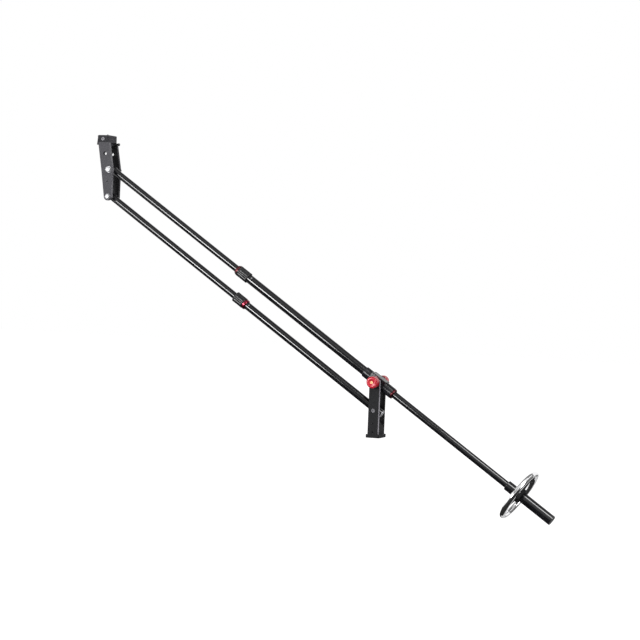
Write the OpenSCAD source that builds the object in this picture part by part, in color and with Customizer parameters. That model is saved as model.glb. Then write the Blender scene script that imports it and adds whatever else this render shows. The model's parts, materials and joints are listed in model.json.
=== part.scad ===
// Telescopic camera jib arm: two parallel tubes swing on a post and keep the camera platform level.
// +X points along the arm towards the camera platform, +Y is the arm's left and +Z is up.
// The origin is the mouth of the threaded hole in the middle of the foot's bottom face.

/* [Arm] */
// Angle of the boom above the horizontal
boom_angle = 34; // [20:1:45]
// Height between the upper and the lower pivots
link_gap = 100; // [90:1:120]
// Outside diameter of the boom tube
boom_od = 32; // [30:0.5:36]
// Wall of the boom tube
boom_wall = 1.5; // [1.2:0.1:2]
// Outside diameter of the lower rod
rod_od = 28; // [27.6:0.1:29]
// Outside diameter of the two drawn stages
stage_od = 25; // [22:0.5:25]
// Wall of the two drawn stages
stage_wall = 1.5; // [1:0.1:2]
// Length of the boom tube in front of its pivot
boom_reach = 662; // [600:1:720]
// Length of the lower rod in front of its pivot
rod_reach = 668; // [600:1:720]
// Distance from the post pivot to the head pivot
head_reach = 1292; // [1250:1:1330]
// Length of each stage that stays inside its outer tube
stage_inside = 110; // [90:1:130]

/* [Post] */
// Height of the tilt pivot above the foot's bottom
post_h = 196; // [185:1:220]
// Width of a post plate
post_w = 38; // [34:1:44]
// Thickness of a post plate
post_plate_t = 12; // [8:0.5:12]
// Free width between the two plates of the post and of the head
plate_gap = 48; // [46:0.5:52]
// Length of the foot along the arm
foot_l = 50; // [46:1:60]
// Width of the foot across the arm
foot_w = 74; // [73:1:84]
// Thickness of the foot's flange
foot_t = 12; // [10:1:16]
// Height of the foot's upstand between the plates
upstand_h = 46; // [42:1:48]
// Minor diameter of the thread in the foot
foot_thread_d = 7.94; // [7:0.01:9]
// Depth of the threaded hole in the foot
foot_thread_depth = 24; // [16:1:26]
// Bevel along the edges of the post plates
plate_bevel = 1.5; // [0.5:0.1:2.5]

/* [Tilt pivot] */
// Diameter of the round sleeve on the boom
sleeve_d = 39; // [38:0.5:40]
// Length of the sleeve in front of the pivot
sleeve_front = 60; // [50:1:70]
// Length of the sleeve behind the pivot
sleeve_rear = 68; // [60:1:78]
// Side of the square pivot block on the sleeve
block_side = 41; // [40:0.5:42]
// Length of the square pivot block
block_l = 62; // [50:1:70]
// Diameter of the two tilt studs
stud_d = 12; // [10:1:12]
// Diameter of the friction washers
friction_d = 40; // [34:1:44]
// Diameter of a tilt knob
knob_d = 41; // [36:1:46]
// Length of a tilt knob
knob_l = 30; // [24:1:34]
// Diameter of the brass insert in a tilt knob
insert_d = 17; // [15:0.5:19]
// Diameter of the insert's closed end in the knob's face
insert_face_d = 11; // [9:0.5:13]
// Diameter of the lower pivot bolt
low_bolt_d = 8; // [6:1:10]

/* [Twist locks] */
// Diameter of a grip over its ribs
grip_d = 39.5; // [38:0.5:42]
// Length of the upper grip
upper_grip_l = 52; // [40:1:56]
// Length of the lower grip
lower_grip_l = 43.5; // [36:0.5:50]
// Number of grooves round a grip
flutes = 12; // [8:1:16]
// Depth of a groove
flute_depth = 1.5; // [0.8:0.1:1.5]
// Length of the upper lock's red ring
upper_ring_l = 4; // [3:0.5:6]
// Length of the lower lock's red ring
lower_ring_l = 12; // [6:0.5:14]

/* [Tail] */
// Distance from the tilt pivot to the tail's end
tail_reach = 782; // [740:1:820]
// Outside diameter of the rear tube
rear_od = 25; // [22:0.5:26]
// Wall of the rear tube
rear_wall = 2; // [1.5:0.1:3]
// Outside diameter of the weight bar
bar_od = 36; // [34:0.5:40]
// Length of the weight bar
bar_l = 198; // [180:1:220]
// Distance from the tail's end to the handwheel
wheel_from_end = 144; // [130:1:156]
// Radius of the handwheel to the middle of its rim
wheel_r = 90; // [80:1:95]
// Thickness of the handwheel's rim
rim_d = 20; // [16:0.5:22]
// Diameter of the handwheel's hub
hub_d = 54; // [50:1:60]
// Length of the handwheel's hub
hub_l = 26; // [20:1:30]
// Width of a spoke at the hub
spoke_w = 18; // [14:1:20]
// Thickness of a spoke
spoke_t = 8; // [6:0.5:10]

/* [Head] */
// Thickness of a head plate
head_plate_t = 12; // [8:0.5:12]
// Radius of the head plates' lower end
head_foot_r = 15; // [13:0.5:17]
// Height of the head plates above the head pivot
head_rise = 100; // [90:1:110]
// Width of a head plate at its top
head_top_w = 45; // [40:0.5:46]
// Diameter of the head pivot bolt
head_bolt_d = 12; // [10:1:12]
// Diameter of the head link bolt
link_bolt_d = 10; // [8:1:10]
// Diameter of the upper accessory bore
bore_a_d = 11; // [8:0.5:12]
// Diameter of the lower accessory bore
bore_b_d = 5; // [4:0.1:6]

/* [Platform] */
// Length of the platform along the arm
platform_l = 45; // [44:0.5:46]
// Width of the platform across the arm
platform_w = 64; // [62:1:72]
// Thickness of the platform's base slab
slab_t = 8; // [6:0.5:10]
// Height of the two jaws above the slab
jaw_h = 9.5; // [8:0.5:12]
// Thickness of the camera plate's top
plate_top_t = 8; // [6:0.5:10]
// Length of the camera plate across the arm
plate_l = 64; // [56:1:68]
// Diameter of the camera screw
camera_screw_d = 6.35; // [6:0.01:9.53]
// Diameter of the camera screw's neck inside the plate
screw_neck_d = 5; // [4.5:0.1:5.5]
// Length of the camera screw above the plate's pad
camera_screw_up = 5; // [4:0.5:6]

/* [Hidden] */
$fn = 64;
// Clearance of parts that turn or slide on each other, on the radius
run_gap = 0.05;
// Clearance of parts that are fixed to each other, on the radius
fix_gap = 0.02;
// Gap between faces that pass each other
face_gap = 0.3;
// Sunk length that makes a cut clean
over = 1;
black = "#1c1c1f";
graphite = "#38383c";
rubber = "#2b2c30";
red = "#c01f33";
dark_red = "#7d1a26";
steel = "#b9bcc1";
brass = "#c9a14a";
chrome = "#e3e6ea";
nylon = "#dcdcd4";
pad = "#1a1a1a";

// Bores of the outer tubes
boom_id = boom_od - 2 * boom_wall;
rod_id = stage_od + 4 * run_gap;
stage_id = stage_od - 2 * stage_wall;
rear_id = rear_od - 2 * rear_wall;

// Half widths of the post and the head
gap_y = plate_gap / 2;
post_y = gap_y + post_plate_t;
head_y = gap_y + head_plate_t;

// Head pivot in the upright frame
head_x = head_reach * cos(boom_angle);
head_z = post_h + head_reach * sin(boom_angle);

// Places along the boom, counted from the tilt pivot
tube_back = 60;
reducer_l = 46;
sleeve_ring_l = 7.5;
lock_front = 4;
collet_l = 26;
guide_l = 20;
rivet_back = 60.5;
rivet_d = 5;
rivet_turn = 38;
rod_tail = 23;
plug_l = 45;
plug_flange = 1.5;
tube_lead = 14;
bar_at = tail_reach - bar_l;
wheel_at = tail_reach - wheel_from_end;
cap_t = 3;
cap_spigot = 12;
knob_seat = post_y + face_gap + 1.4;

// Lock nuts
upper_nut_d = boom_od + 3.2;
lower_nut_d = rod_od + 4.4;
stage_clear = 0.3;

// Locks, counted from the pivots of their own tubes
upper_front = boom_reach + lock_front;
upper_back = upper_front - upper_grip_l - 1;
lower_front = rod_reach + lock_front + 1;
lower_back = lower_front - lower_grip_l;
flute_r = 1.6;
rivet_at = boom_reach - rivet_back;
rod_rivet_at = rod_reach - rivet_back;
collet_slit = 1.6;

// Pivot hardware
boss_h = 1.7;
boss_d = 30;
bush_od = stud_d + 4;
washer_d = 28;
stud_in = 17;
insert_face_t = 8;
insert_end = 1.2;
stud_out = knob_seat + knob_l - insert_face_t - face_gap;
block_bevel = 1.6;
block_across = block_side * sqrt(2) - 2 * block_bevel;
low_head_d = 14;
low_head_h = 3;
low_nut_h = 6.5;
low_bolt_out = 2;
spacer_wall = 4;
washer_t = 2.5;
washer_k = 2;
hex_flats = 1.6;
link_play = 0.3;

// Screws of the post and the head
post_screw_d = 6;
post_screw_z = [foot_t + 8, foot_t + 38];
upstand_top = 18;
post_screw_in = 14;
post_head_d = 10;
post_head_h = 6;
foot_bevel = 3;
head_screw_d = 4;
head_screw_x = [20, 37];
head_screw_y = gap_y + 4;
head_screw_in = 12;
head_screw_h = 2.4;
head_screw_head = 7;
set_screw_d = 6;

// Spokes, one straight up and two down, and the set screw between two of them
spoke_turns = [90, 210, 330];
set_screw_turn = 30;

// Head plate places in the head's frame
head_front = [31, -2];
head_rear = [-14, 3];
head_top_x = 3;
head_foot_x = 2;
bore_a_x = 18.3;
bore_a_z = 58.5;
bore_b_x = 5.3;
bore_b_z = -43;
sink_d = 16;
sink_h = 3;

// Platform places in the head's frame
platform_x = 7;
slab_z = head_rise;
jaw_z = slab_z + slab_t;
plate_z = jaw_z + jaw_h + face_gap;
pad_t = 1;
top_z = plate_z + plate_top_t;
mid_x = platform_x + platform_l / 2;
foot_half = 18;
neck_half = 14;
foot_edge = 2;
jaw_t = 6.2;
jaw_x = platform_x + platform_l - jaw_t;
jaw_drop = 9;
jaw_lean = 3;
jaw_step = 2.6;
clamp_y = -(gap_y - 5);
clamp_z = head_rise - 5;
clamp_d = 5;
clamp_knob_d = 10;
clamp_knob_l = 9;
clamp_knob_x = -4;
plate_end = platform_w / 2 + face_gap;
stop_d = 5;
stop_in = 18;
stop_z = jaw_z + jaw_h / 2;
stop_head_d = 14;
stop_head_h = 3;
block_x0 = 12;
block_x1 = 40;
block_drop = 11;
screw_head_d = 15;
screw_head_h = 2.5;
screw_head_z = jaw_z + face_gap + 0.5;

// Frames

// Frame of the boom: X along it, origin at the tilt pivot
module on_boom() {
    translate([0, 0, post_h]) rotate([0, -boom_angle, 0]) children();
}

// Frame of the lower rod: X along it, origin at the lower pivot
module on_rod() {
    translate([0, 0, post_h - link_gap]) rotate([0, -boom_angle, 0]) children();
}

// Upright frame of the head, origin at the head pivot
module on_head() {
    translate([head_x, 0, head_z]) children();
}

// The same shape on both sides of the arm
module both_sides() {
    children();
    mirror([0, 1, 0]) children();
}

// Shapes

// Solid bar along X
module bar_x(from, to, d) {
    translate([from, 0, 0]) rotate([0, 90, 0]) cylinder(h = to - from, d = d);
}

// Solid bar along Y
module bar_y(from, to, d) {
    translate([0, from, 0]) rotate([-90, 0, 0]) cylinder(h = to - from, d = d);
}

// Ring along X
module ring_x(from, to, od, id) {
    difference() {
        bar_x(from, to, od);
        bar_x(from - over, to + over, id);
    }
}

// Ring along Y
module ring_y(from, to, od, id) {
    difference() {
        bar_y(from, to, od);
        bar_y(from - over, to + over, id);
    }
}

// Turned piece along X, from an outline of [place along X, radius] points
module turned_x(outline) {
    rotate([90, 0, 90]) rotate_extrude() polygon([for (p = outline) [p[1], p[0]]]);
}

// Hexagon along Y, across flats
module hex_y(from, to, flats) {
    translate([0, from, 0]) rotate([-90, 0, 0]) cylinder(h = to - from, d = flats / cos(30), $fn = 6);
}

// Dowel that stands out of a tube's side, turned round the tube from +Y towards +Z
module radial_pin(at, from, to, d, turn) {
    translate([at, 0, 0]) rotate([turn, 0, 0]) bar_y(from, to, d);
}

// Post

module foot_block() {
    color(graphite) difference() {
        union() {
            translate([-foot_l / 2, -foot_w / 2, 0]) cube([foot_l, foot_w, foot_t]);
            upstand();
        }
        translate([0, 0, -over]) cylinder(h = foot_thread_depth + over, d = foot_thread_d);
        both_sides() for (z = post_screw_z) translate([0, 0, z])
            bar_y(gap_y - post_screw_in, gap_y + over, post_screw_d + 2 * fix_gap);
        foot_bevels();
    }
}

// Block between the plates, narrowed at its top to clear the lower rod
module upstand() {
    shoulder = foot_t + upstand_h * 0.6;
    top = foot_t + upstand_h;
    translate([0, gap_y, 0]) rotate([90, 0, 0]) linear_extrude(plate_gap) polygon([
        [-post_w / 2, foot_t - over], [post_w / 2, foot_t - over], [post_w / 2, shoulder],
        [upstand_top / 2, top], [-upstand_top / 2, top], [-post_w / 2, shoulder]
    ]);
}

// Bevels along the foot's upright corners and its upper edges
module foot_bevels() {
    for (x = [-1, 1])
        for (y = [-1, 1])
            translate([x * foot_l / 2, y * foot_w / 2, -over])
                rotate([0, 0, 45]) translate([-foot_bevel / 2, -foot_bevel / 2, 0])
                    cube([foot_bevel, foot_bevel, foot_t + 2 * over]);
    for (x = [-1, 1])
        translate([x * foot_l / 2, 0, foot_t]) rotate([0, 45, 0])
            cube([plate_bevel, foot_w + 2 * over, plate_bevel], center = true);
}

// Upright plate with a round top, its inner face at Y = 0
module post_plate() {
    difference() {
        union() {
            translate([-post_w / 2, 0, foot_t])
                cube([post_w, post_plate_t, post_h - foot_t]);
            translate([0, 0, post_h]) bar_y(0, post_plate_t, post_w);
        }
        translate([0, 0, post_h]) bar_y(-over, post_plate_t + over, bush_od + 2 * fix_gap);
        translate([0, 0, post_h - link_gap])
            bar_y(-over, post_plate_t + over, low_bolt_d + 2 * fix_gap);
        for (z = post_screw_z) translate([0, 0, z]) {
            bar_y(-over, post_plate_t + over, post_screw_d + 2 * fix_gap);
            bar_y(post_plate_t - post_head_h, post_plate_t + over, post_head_d + face_gap);
        }
        for (x = [-1, 1])
            translate([x * post_w / 2, post_plate_t, 0]) rotate([0, 0, 45])
                translate([-plate_bevel / 2, -plate_bevel / 2, -over])
                    cube([plate_bevel, plate_bevel, post_h + over]);
        round_bevel();
    }
}

// Bevel round the plate's top, on its outer face
module round_bevel() {
    bevel = plate_bevel / sqrt(2);
    translate([0, post_plate_t, post_h]) rotate([-90, 0, 0]) intersection() {
        rotate_extrude() polygon([
            [post_w / 2 - bevel, 0], [post_w / 2 + bevel, 0], [post_w / 2 + bevel, -bevel],
            [post_w / 2, -bevel]
        ]);
        translate([-post_w, -post_w, -post_w]) cube([2 * post_w, post_w, 2 * post_w]);
    }
}

module post_plate_left() {
    color(black) translate([0, gap_y, 0]) post_plate();
}

module post_plate_right() {
    color(black) mirror([0, 1, 0]) translate([0, gap_y, 0]) post_plate();
}

// Four cap screws that hold the plates to the foot's upstand
module post_screws() {
    color(steel) both_sides() for (z = post_screw_z) translate([0, 0, z]) {
        bar_y(gap_y - post_screw_in + face_gap, post_y - post_head_h, post_screw_d);
        difference() {
            bar_y(post_y - post_head_h, post_y - face_gap, post_head_d);
            hex_y(post_y - post_head_h / 2, post_y, post_head_d / 2);
        }
    }
}

module tilt_bushes() {
    color(brass) both_sides() translate([0, 0, post_h])
        ring_y(gap_y, post_y, bush_od, stud_d + 2 * run_gap);
}

module lower_pivot_bolt() {
    color(steel) translate([0, 0, post_h - link_gap]) {
        bar_y(-post_y - low_nut_h - low_bolt_out, post_y, low_bolt_d);
        difference() {
            bar_y(post_y, post_y + low_head_h, low_head_d);
            hex_y(post_y + low_head_h / 2, post_y + low_head_h + over, low_bolt_d * 0.6);
        }
    }
}

module lower_pivot_nut() {
    color(steel) translate([0, 0, post_h - link_gap]) difference() {
        hex_y(-post_y - low_nut_h, -post_y, low_bolt_d * 1.625);
        bar_y(-post_y - low_nut_h - over, -post_y + over, low_bolt_d + 2 * fix_gap);
    }
}

module lower_pivot_spacers() {
    color(steel) both_sides() translate([0, 0, post_h - link_gap])
        ring_y(rod_od / 2 + face_gap, gap_y, low_bolt_d + 2 * spacer_wall, low_bolt_d + 2 * fix_gap);
}

// Boom

module boom_tube() {
    color(black) on_boom() difference() {
        ring_x(-tube_back, boom_reach, boom_od, boom_id);
        for (side = [0, 180])
            radial_pin(rivet_at, boom_id / 2 - over, boom_od / 2 + over,
                rivet_d + 2 * fix_gap, rivet_turn + side);
    }
}

// Round sleeve with a square pivot block, bored for the boom tube
module boom_sleeve() {
    color(black) on_boom() difference() {
        union() {
            turned_x([
                [-sleeve_rear, 0], [-sleeve_rear, sleeve_d / 2 - 1], [-sleeve_rear + 1, sleeve_d / 2],
                [sleeve_front - 2, sleeve_d / 2], [sleeve_front, sleeve_d / 2 - 1.2], [sleeve_front, 0]
            ]);
            pivot_block();
            both_sides() bar_y(0, block_side / 2 + boss_h, boss_d);
        }
        bar_x(-tube_back, sleeve_front + over, boom_od + 2 * fix_gap);
        bar_x(-sleeve_rear - over, over - tube_back, rear_od + 2 * fix_gap);
        both_sides() bar_y(stud_in, block_side, stud_d + 2 * fix_gap);
    }
}

// Square block with bevelled long edges
module pivot_block() {
    side = block_side;
    intersection() {
        translate([-block_l / 2, -side / 2, -side / 2]) cube([block_l, side, side]);
        rotate([45, 0, 0]) cube([block_l + over, block_across, block_across], center = true);
    }
}

module tilt_studs() {
    color(steel) on_boom() both_sides() bar_y(stud_in + face_gap, stud_out, stud_d);
}

// Red friction washers between the block's bosses and the post plates
module friction_washers() {
    color(dark_red) on_boom() both_sides()
        ring_y(block_side / 2 + boss_h, gap_y - face_gap, friction_d, stud_d + 2 * fix_gap);
}

module sleeve_ring() {
    r = sleeve_d / 2 - 0.5;
    color(red) on_boom() difference() {
        turned_x([
            [-sleeve_rear - sleeve_ring_l, 0], [-sleeve_rear - sleeve_ring_l, r - 3.5],
            [-sleeve_rear - sleeve_ring_l + 3.5, r], [-sleeve_rear, r], [-sleeve_rear, 0]
        ]);
        bar_x(-sleeve_rear - sleeve_ring_l - over, over - sleeve_rear, rear_od + 2 * fix_gap);
    }
}

// Split collet in the boom tube's mouth, where the drawn stage slides
module boom_collet() {
    color(nylon) on_boom() difference() {
        ring_x(boom_reach - collet_l, boom_reach, boom_id - 2 * fix_gap, stage_od + 2 * run_gap);
        for (turn = [45 : 90 : 315])
            rotate([turn, 0, 0]) translate([boom_reach - collet_l * 0.7, 0, -collet_slit / 2])
                cube([collet_l, boom_od, collet_slit]);
    }
}

module boom_rivets() {
    color(steel) on_boom() for (side = [0, 180])
        radial_pin(rivet_at, boom_id / 2 + fix_gap, boom_od / 2 + 1, rivet_d, rivet_turn + side);
}

module rear_reducer() {
    color(graphite) on_boom()
        ring_x(-tube_back, reducer_l - tube_back, boom_id - 2 * fix_gap, rear_od + 2 * fix_gap);
}

module rear_tube() {
    color(black) on_boom() ring_x(-tail_reach + cap_t, reducer_l - tube_back, rear_od, rear_id);
}

// Thick bar for counterweights, slipped over the rear tube
module weight_bar() {
    r = bar_od / 2;
    color(black) on_boom() difference() {
        turned_x([
            [-tail_reach + cap_t, 0], [-tail_reach + cap_t, r], [-bar_at - 1.5, r],
            [-bar_at, r - 1.5], [-bar_at, 0]
        ]);
        bar_x(-tail_reach, over - bar_at, rear_od + 2 * fix_gap);
        translate([-wheel_at, 0, 0]) at_set_screw()
            translate([0, 0, rear_od / 2]) cylinder(h = bar_od, d = set_screw_d + 2 * fix_gap);
    }
}

// Frame of the wheel's set screw, its Z along the screw
module at_set_screw() {
    rotate([set_screw_turn - 90, 0, 0]) children();
}

module tail_cap() {
    r = bar_od / 2 - 0.3;
    color(pad) on_boom() turned_x([
        [-tail_reach, 0], [-tail_reach, r - 1.2], [-tail_reach + 1.2, r], [-tail_reach + cap_t, r],
        [-tail_reach + cap_t, rear_id / 2 - fix_gap],
        [-tail_reach + cap_t + cap_spigot, rear_id / 2 - fix_gap],
        [-tail_reach + cap_t + cap_spigot, 0]
    ]);
}

// Hub with three spokes that end in seats cut to the rim
module wheel_hub() {
    color(black) on_boom() translate([-wheel_at, 0, 0]) difference() {
        union() {
            turned_x([
                [-hub_l / 2, 0], [-hub_l / 2, hub_d / 2 - 3], [-hub_l / 2 + 3, hub_d / 2],
                [hub_l / 2 - 3, hub_d / 2], [hub_l / 2, hub_d / 2 - 3], [hub_l / 2, 0]
            ]);
            for (turn = spoke_turns) rotate([turn, 0, 0]) spoke();
        }
        bar_x(-hub_l, hub_l, bar_od + 2 * fix_gap);
        rim_shape(rim_d + 2 * fix_gap);
        at_set_screw() translate([0, 0, bar_od / 2 - over])
            cylinder(h = (hub_d - bar_od) / 2 + 2 * over, d = set_screw_d + 2 * fix_gap);
    }
}

// Flat spoke that narrows towards the rim, along +Y
module spoke() {
    translate([-spoke_t / 2, 0, 0]) rotate([90, 0, 90]) linear_extrude(spoke_t) polygon([
        [hub_d / 3, -spoke_w / 2], [wheel_r - rim_d / 4, -spoke_w / 3],
        [wheel_r - rim_d / 4, spoke_w / 3], [hub_d / 3, spoke_w / 2]
    ]);
}

module rim_shape(d) {
    rotate([0, 90, 0]) rotate_extrude($fn = 128) translate([wheel_r, 0]) circle(d = d);
}

module wheel_rim() {
    color(chrome) on_boom() translate([-wheel_at, 0, 0]) rim_shape(rim_d);
}

module wheel_set_screw() {
    color(steel) on_boom() translate([-wheel_at, 0, 0]) at_set_screw() difference() {
        translate([0, 0, rear_od / 2 + face_gap])
            cylinder(h = (hub_d - rear_od) / 2 - 1, d = set_screw_d);
        translate([0, 0, hub_d / 2 - 3.5]) cylinder(h = 5, d = set_screw_d / 2, $fn = 6);
    }
}

// Tilt knobs

// Smooth turned knob with a dished face, its back at Y = 0
module knob_shape() {
    r = knob_d / 2;
    step = knob_l - insert_face_t + fix_gap;
    rotate([-90, 0, 0]) rotate_extrude() polygon([
        [insert_d / 2 + fix_gap, 0], [r - 3, 0], [r - 1, 1.2], [r, 3.5], [r, knob_l - 5],
        [r - 0.6, knob_l - 2.6], [r - 2, knob_l - 0.9], [r - 4, knob_l], [r - 7, knob_l],
        [r - 9, knob_l - 1.6], [insert_face_d / 2 + fix_gap, knob_l - 2.4],
        [insert_face_d / 2 + fix_gap, step], [insert_d / 2 + fix_gap, step]
    ]);
}

// Brass insert, open at the back for the stud and closed by a smaller round end at the front
module knob_insert_shape() {
    step = knob_l - insert_face_t;
    face = knob_l - insert_end;
    rotate([-90, 0, 0]) rotate_extrude() polygon([
        [stud_d / 2 + run_gap, face_gap], [insert_d / 2, face_gap], [insert_d / 2, step],
        [insert_face_d / 2, step], [insert_face_d / 2, face - 0.8], [insert_face_d / 2 - 0.8, face],
        [0, face], [0, step + insert_end], [stud_d / 2 + run_gap, step]
    ]);
}

module knob_left() {
    color(red) on_boom() translate([0, knob_seat, 0]) knob_shape();
}

module knob_right() {
    color(red) on_boom() mirror([0, 1, 0]) translate([0, knob_seat, 0]) knob_shape();
}

module knob_insert_left() {
    color(brass) on_boom() translate([0, knob_seat, 0]) knob_insert_shape();
}

module knob_insert_right() {
    color(brass) on_boom() mirror([0, 1, 0]) translate([0, knob_seat, 0]) knob_insert_shape();
}

module knob_washers() {
    color(steel) on_boom() both_sides()
        ring_y(post_y + face_gap, knob_seat - face_gap, washer_d, stud_d + 2 * fix_gap);
}

// Twist locks

// Grooved rubber grip over a nut
module grip(from, to, id) {
    difference() {
        turned_x([
            [from, 0], [from, grip_d / 2 - 1.6], [from + 1.6, grip_d / 2],
            [to - 1.6, grip_d / 2], [to, grip_d / 2 - 1.6], [to, 0]
        ]);
        bar_x(from - over, to + over, id);
        for (turn = [0 : 360 / flutes : 359]) rotate([turn, 0, 0])
            translate([0, 0, grip_d / 2 + flute_r - flute_depth])
                bar_x(from + 5, to - 5, 2 * flute_r);
    }
}

// Nut that runs on the outer tube and closes round the drawn stage at its front
module lock_nut(from, to, mouth, od, tube) {
    difference() {
        bar_x(from, to, od);
        bar_x(from - over, mouth, tube + 2 * run_gap);
        bar_x(mouth - over, to + over, stage_od + 2 * stage_clear);
    }
}

module upper_lock_nut() {
    color(graphite) on_boom()
        lock_nut(upper_back, upper_front, boom_reach + face_gap, upper_nut_d, boom_od);
}

module upper_lock_grip() {
    color(rubber) on_boom() grip(upper_back, upper_back + upper_grip_l, upper_nut_d + 2 * fix_gap);
}

module upper_lock_ring() {
    r = upper_nut_d / 2;
    color(dark_red) on_boom() difference() {
        turned_x([
            [upper_front, 0], [upper_front, r], [upper_front + upper_ring_l - 2, r],
            [upper_front + upper_ring_l, r - 2.5], [upper_front + upper_ring_l, 0]
        ]);
        bar_x(upper_front - over, upper_front + upper_ring_l + over, stage_od + 2 * stage_clear);
    }
}

module lower_lock_nut() {
    color(graphite) on_rod()
        lock_nut(lower_back, lower_front, rod_reach + face_gap, lower_nut_d, rod_od);
}

module lower_lock_grip() {
    color(rubber) on_rod() grip(lower_back, lower_back + lower_grip_l, lower_nut_d + 2 * fix_gap);
}

module lower_lock_ring() {
    r = grip_d / 2 - 1.2;
    back = lower_back - lower_ring_l;
    color(red) on_rod() difference() {
        turned_x([
            [back, 0], [back, r - 3], [back + 1, r - 1.2], [back + 3, r],
            [lower_back, r], [lower_back, 0]
        ]);
        bar_x(back - over, lower_back + over, rod_od + 2 * run_gap);
    }
}

// Drawn stages

module upper_stage() {
    color(black) on_boom() difference() {
        ring_x(boom_reach - stage_inside, head_reach + tube_lead, stage_od, stage_id);
        translate([head_reach, 0, 0]) bar_y(-stage_od, stage_od, head_bolt_d + 2 * run_gap);
    }
}

module upper_guide_ring() {
    color(nylon) on_boom() ring_x(boom_reach - stage_inside, boom_reach - stage_inside + guide_l,
        boom_id - 2 * run_gap, stage_od + 2 * fix_gap);
}

module upper_head_plug() {
    color(steel) on_boom() difference() {
        bar_x(head_reach - tube_lead * 2, head_reach + tube_lead + plug_flange, stage_id - 2 * fix_gap);
        translate([head_reach, 0, 0]) bar_y(-stage_od, stage_od, head_bolt_d + 2 * run_gap);
    }
}

module lower_rod() {
    color(black) on_rod() difference() {
        ring_x(-rod_tail, rod_reach, rod_od, rod_id);
        bar_y(-rod_od, rod_od, low_bolt_d + 2 * run_gap);
        for (side = [0, 180])
            radial_pin(rod_rivet_at, rod_id / 2 - over, rod_od / 2 + over,
                rivet_d + 2 * fix_gap, rivet_turn + side);
    }
}

module lower_rod_plug() {
    color(steel) on_rod() difference() {
        union() {
            bar_x(-rod_tail - plug_flange, -rod_tail, rod_od);
            bar_x(-rod_tail - over, plug_l - rod_tail, rod_id - 2 * fix_gap);
        }
        bar_y(-rod_od, rod_od, low_bolt_d + 2 * run_gap);
    }
}

module lower_rod_rivets() {
    color(steel) on_rod() for (side = [0, 180])
        radial_pin(rod_rivet_at, rod_id / 2 + fix_gap, rod_od / 2 + 1, rivet_d, rivet_turn + side);
}

module lower_stage() {
    color(black) on_rod() difference() {
        ring_x(rod_reach - stage_inside, head_reach + tube_lead, stage_od, stage_id);
        translate([head_reach, 0, 0]) bar_y(-stage_od, stage_od, link_bolt_d + 2 * link_play);
    }
}

module lower_head_plug() {
    color(steel) on_rod() difference() {
        bar_x(head_reach - tube_lead * 2, head_reach + tube_lead + plug_flange, stage_id - 2 * fix_gap);
        translate([head_reach, 0, 0]) bar_y(-stage_od, stage_od, link_bolt_d + 2 * link_play);
    }
}

// Head

// Outline of a head plate in X and Z: it leans forward above the pivot and narrows to a round foot
module head_outline() {
    foot = [head_foot_x, -link_gap + 1];
    front_dir = head_front - foot;
    rear_dir = head_rear - foot;
    front_turn = atan2(front_dir[1], front_dir[0]) - acos(head_foot_r / norm(front_dir));
    rear_turn = atan2(rear_dir[1], rear_dir[0]) + acos(head_foot_r / norm(rear_dir));
    polygon([
        foot + head_foot_r * [cos(front_turn), sin(front_turn)],
        head_front, [head_top_x + head_top_w, head_rise], [head_top_x, head_rise], head_rear,
        foot + head_foot_r * [cos(rear_turn), sin(rear_turn)], foot
    ]);
    translate(foot) circle(r = head_foot_r);
}

module head_plate() {
    difference() {
        translate([0, head_plate_t, 0]) rotate([90, 0, 0]) linear_extrude(head_plate_t) head_outline();
        bar_y(-over, head_plate_t + over, head_bolt_d + 2 * fix_gap);
        translate([0, 0, -link_gap]) bar_y(-over, head_plate_t + over, link_bolt_d + 2 * fix_gap);
        translate([bore_a_x, 0, bore_a_z]) {
            bar_y(-over, head_plate_t + over, bore_a_d);
            bar_y(head_plate_t - sink_h, head_plate_t + over, sink_d);
        }
        translate([bore_b_x, 0, bore_b_z]) bar_y(-over, head_plate_t + over, bore_b_d);
        for (x = head_screw_x)
            translate([x, head_screw_y - gap_y, head_rise - head_screw_in])
                cylinder(h = head_screw_in + over, d = head_screw_d + 2 * fix_gap);
    }
}

module head_plate_left() {
    color(graphite) on_head() translate([0, gap_y, 0]) head_plate();
}

module head_plate_right() {
    color(graphite) on_head() mirror([0, 1, 0]) translate([0, gap_y, 0]) head_plate();
}

// Cross block between the plates, with the platform's slab and its fixed rear jaw
module head_block() {
    color(black) on_head() difference() {
        union() {
            translate([block_x0, -gap_y, head_rise - block_drop])
                cube([block_x1 - block_x0, plate_gap, block_drop + over]);
            translate([0, platform_w / 2, 0]) rotate([90, 0, 0]) linear_extrude(platform_w) polygon([
                [platform_x, slab_z], [jaw_x - face_gap, slab_z], [jaw_x - face_gap, jaw_z],
                [mid_x - foot_half - face_gap, jaw_z], [mid_x - foot_half - face_gap, jaw_z + foot_edge],
                [mid_x - neck_half - face_gap, jaw_z + jaw_h], [platform_x, jaw_z + jaw_h]
            ]);
        }
        translate([0, clamp_y, clamp_z]) bar_x(-over, platform_l * 2, clamp_d + 2 * run_gap);
        both_sides() for (x = head_screw_x) translate([x, head_screw_y, slab_z]) {
            translate([0, 0, -over]) cylinder(h = slab_t + 2 * over, d = head_screw_d + 2 * fix_gap);
            translate([0, 0, slab_t - head_screw_h])
                cylinder(h = jaw_h, d = head_screw_head + 2 * face_gap);
        }
    }
}

// Four screws from above that hold the slab down on the head plates, below the camera plate
module head_screws() {
    top = jaw_z - face_gap;
    color(steel) on_head() both_sides() for (x = head_screw_x) translate([x, head_screw_y, 0])
        difference() {
            union() {
                translate([0, 0, head_rise - head_screw_in + face_gap])
                    cylinder(h = top - head_rise + head_screw_in - face_gap, d = head_screw_d);
                translate([0, 0, jaw_z - head_screw_h])
                    cylinder(h = head_screw_h - face_gap, d = head_screw_head);
            }
            translate([0, 0, top - 1.2]) cylinder(h = over + 1.2, d = head_screw_d * 0.7, $fn = 6);
        }
}

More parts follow.
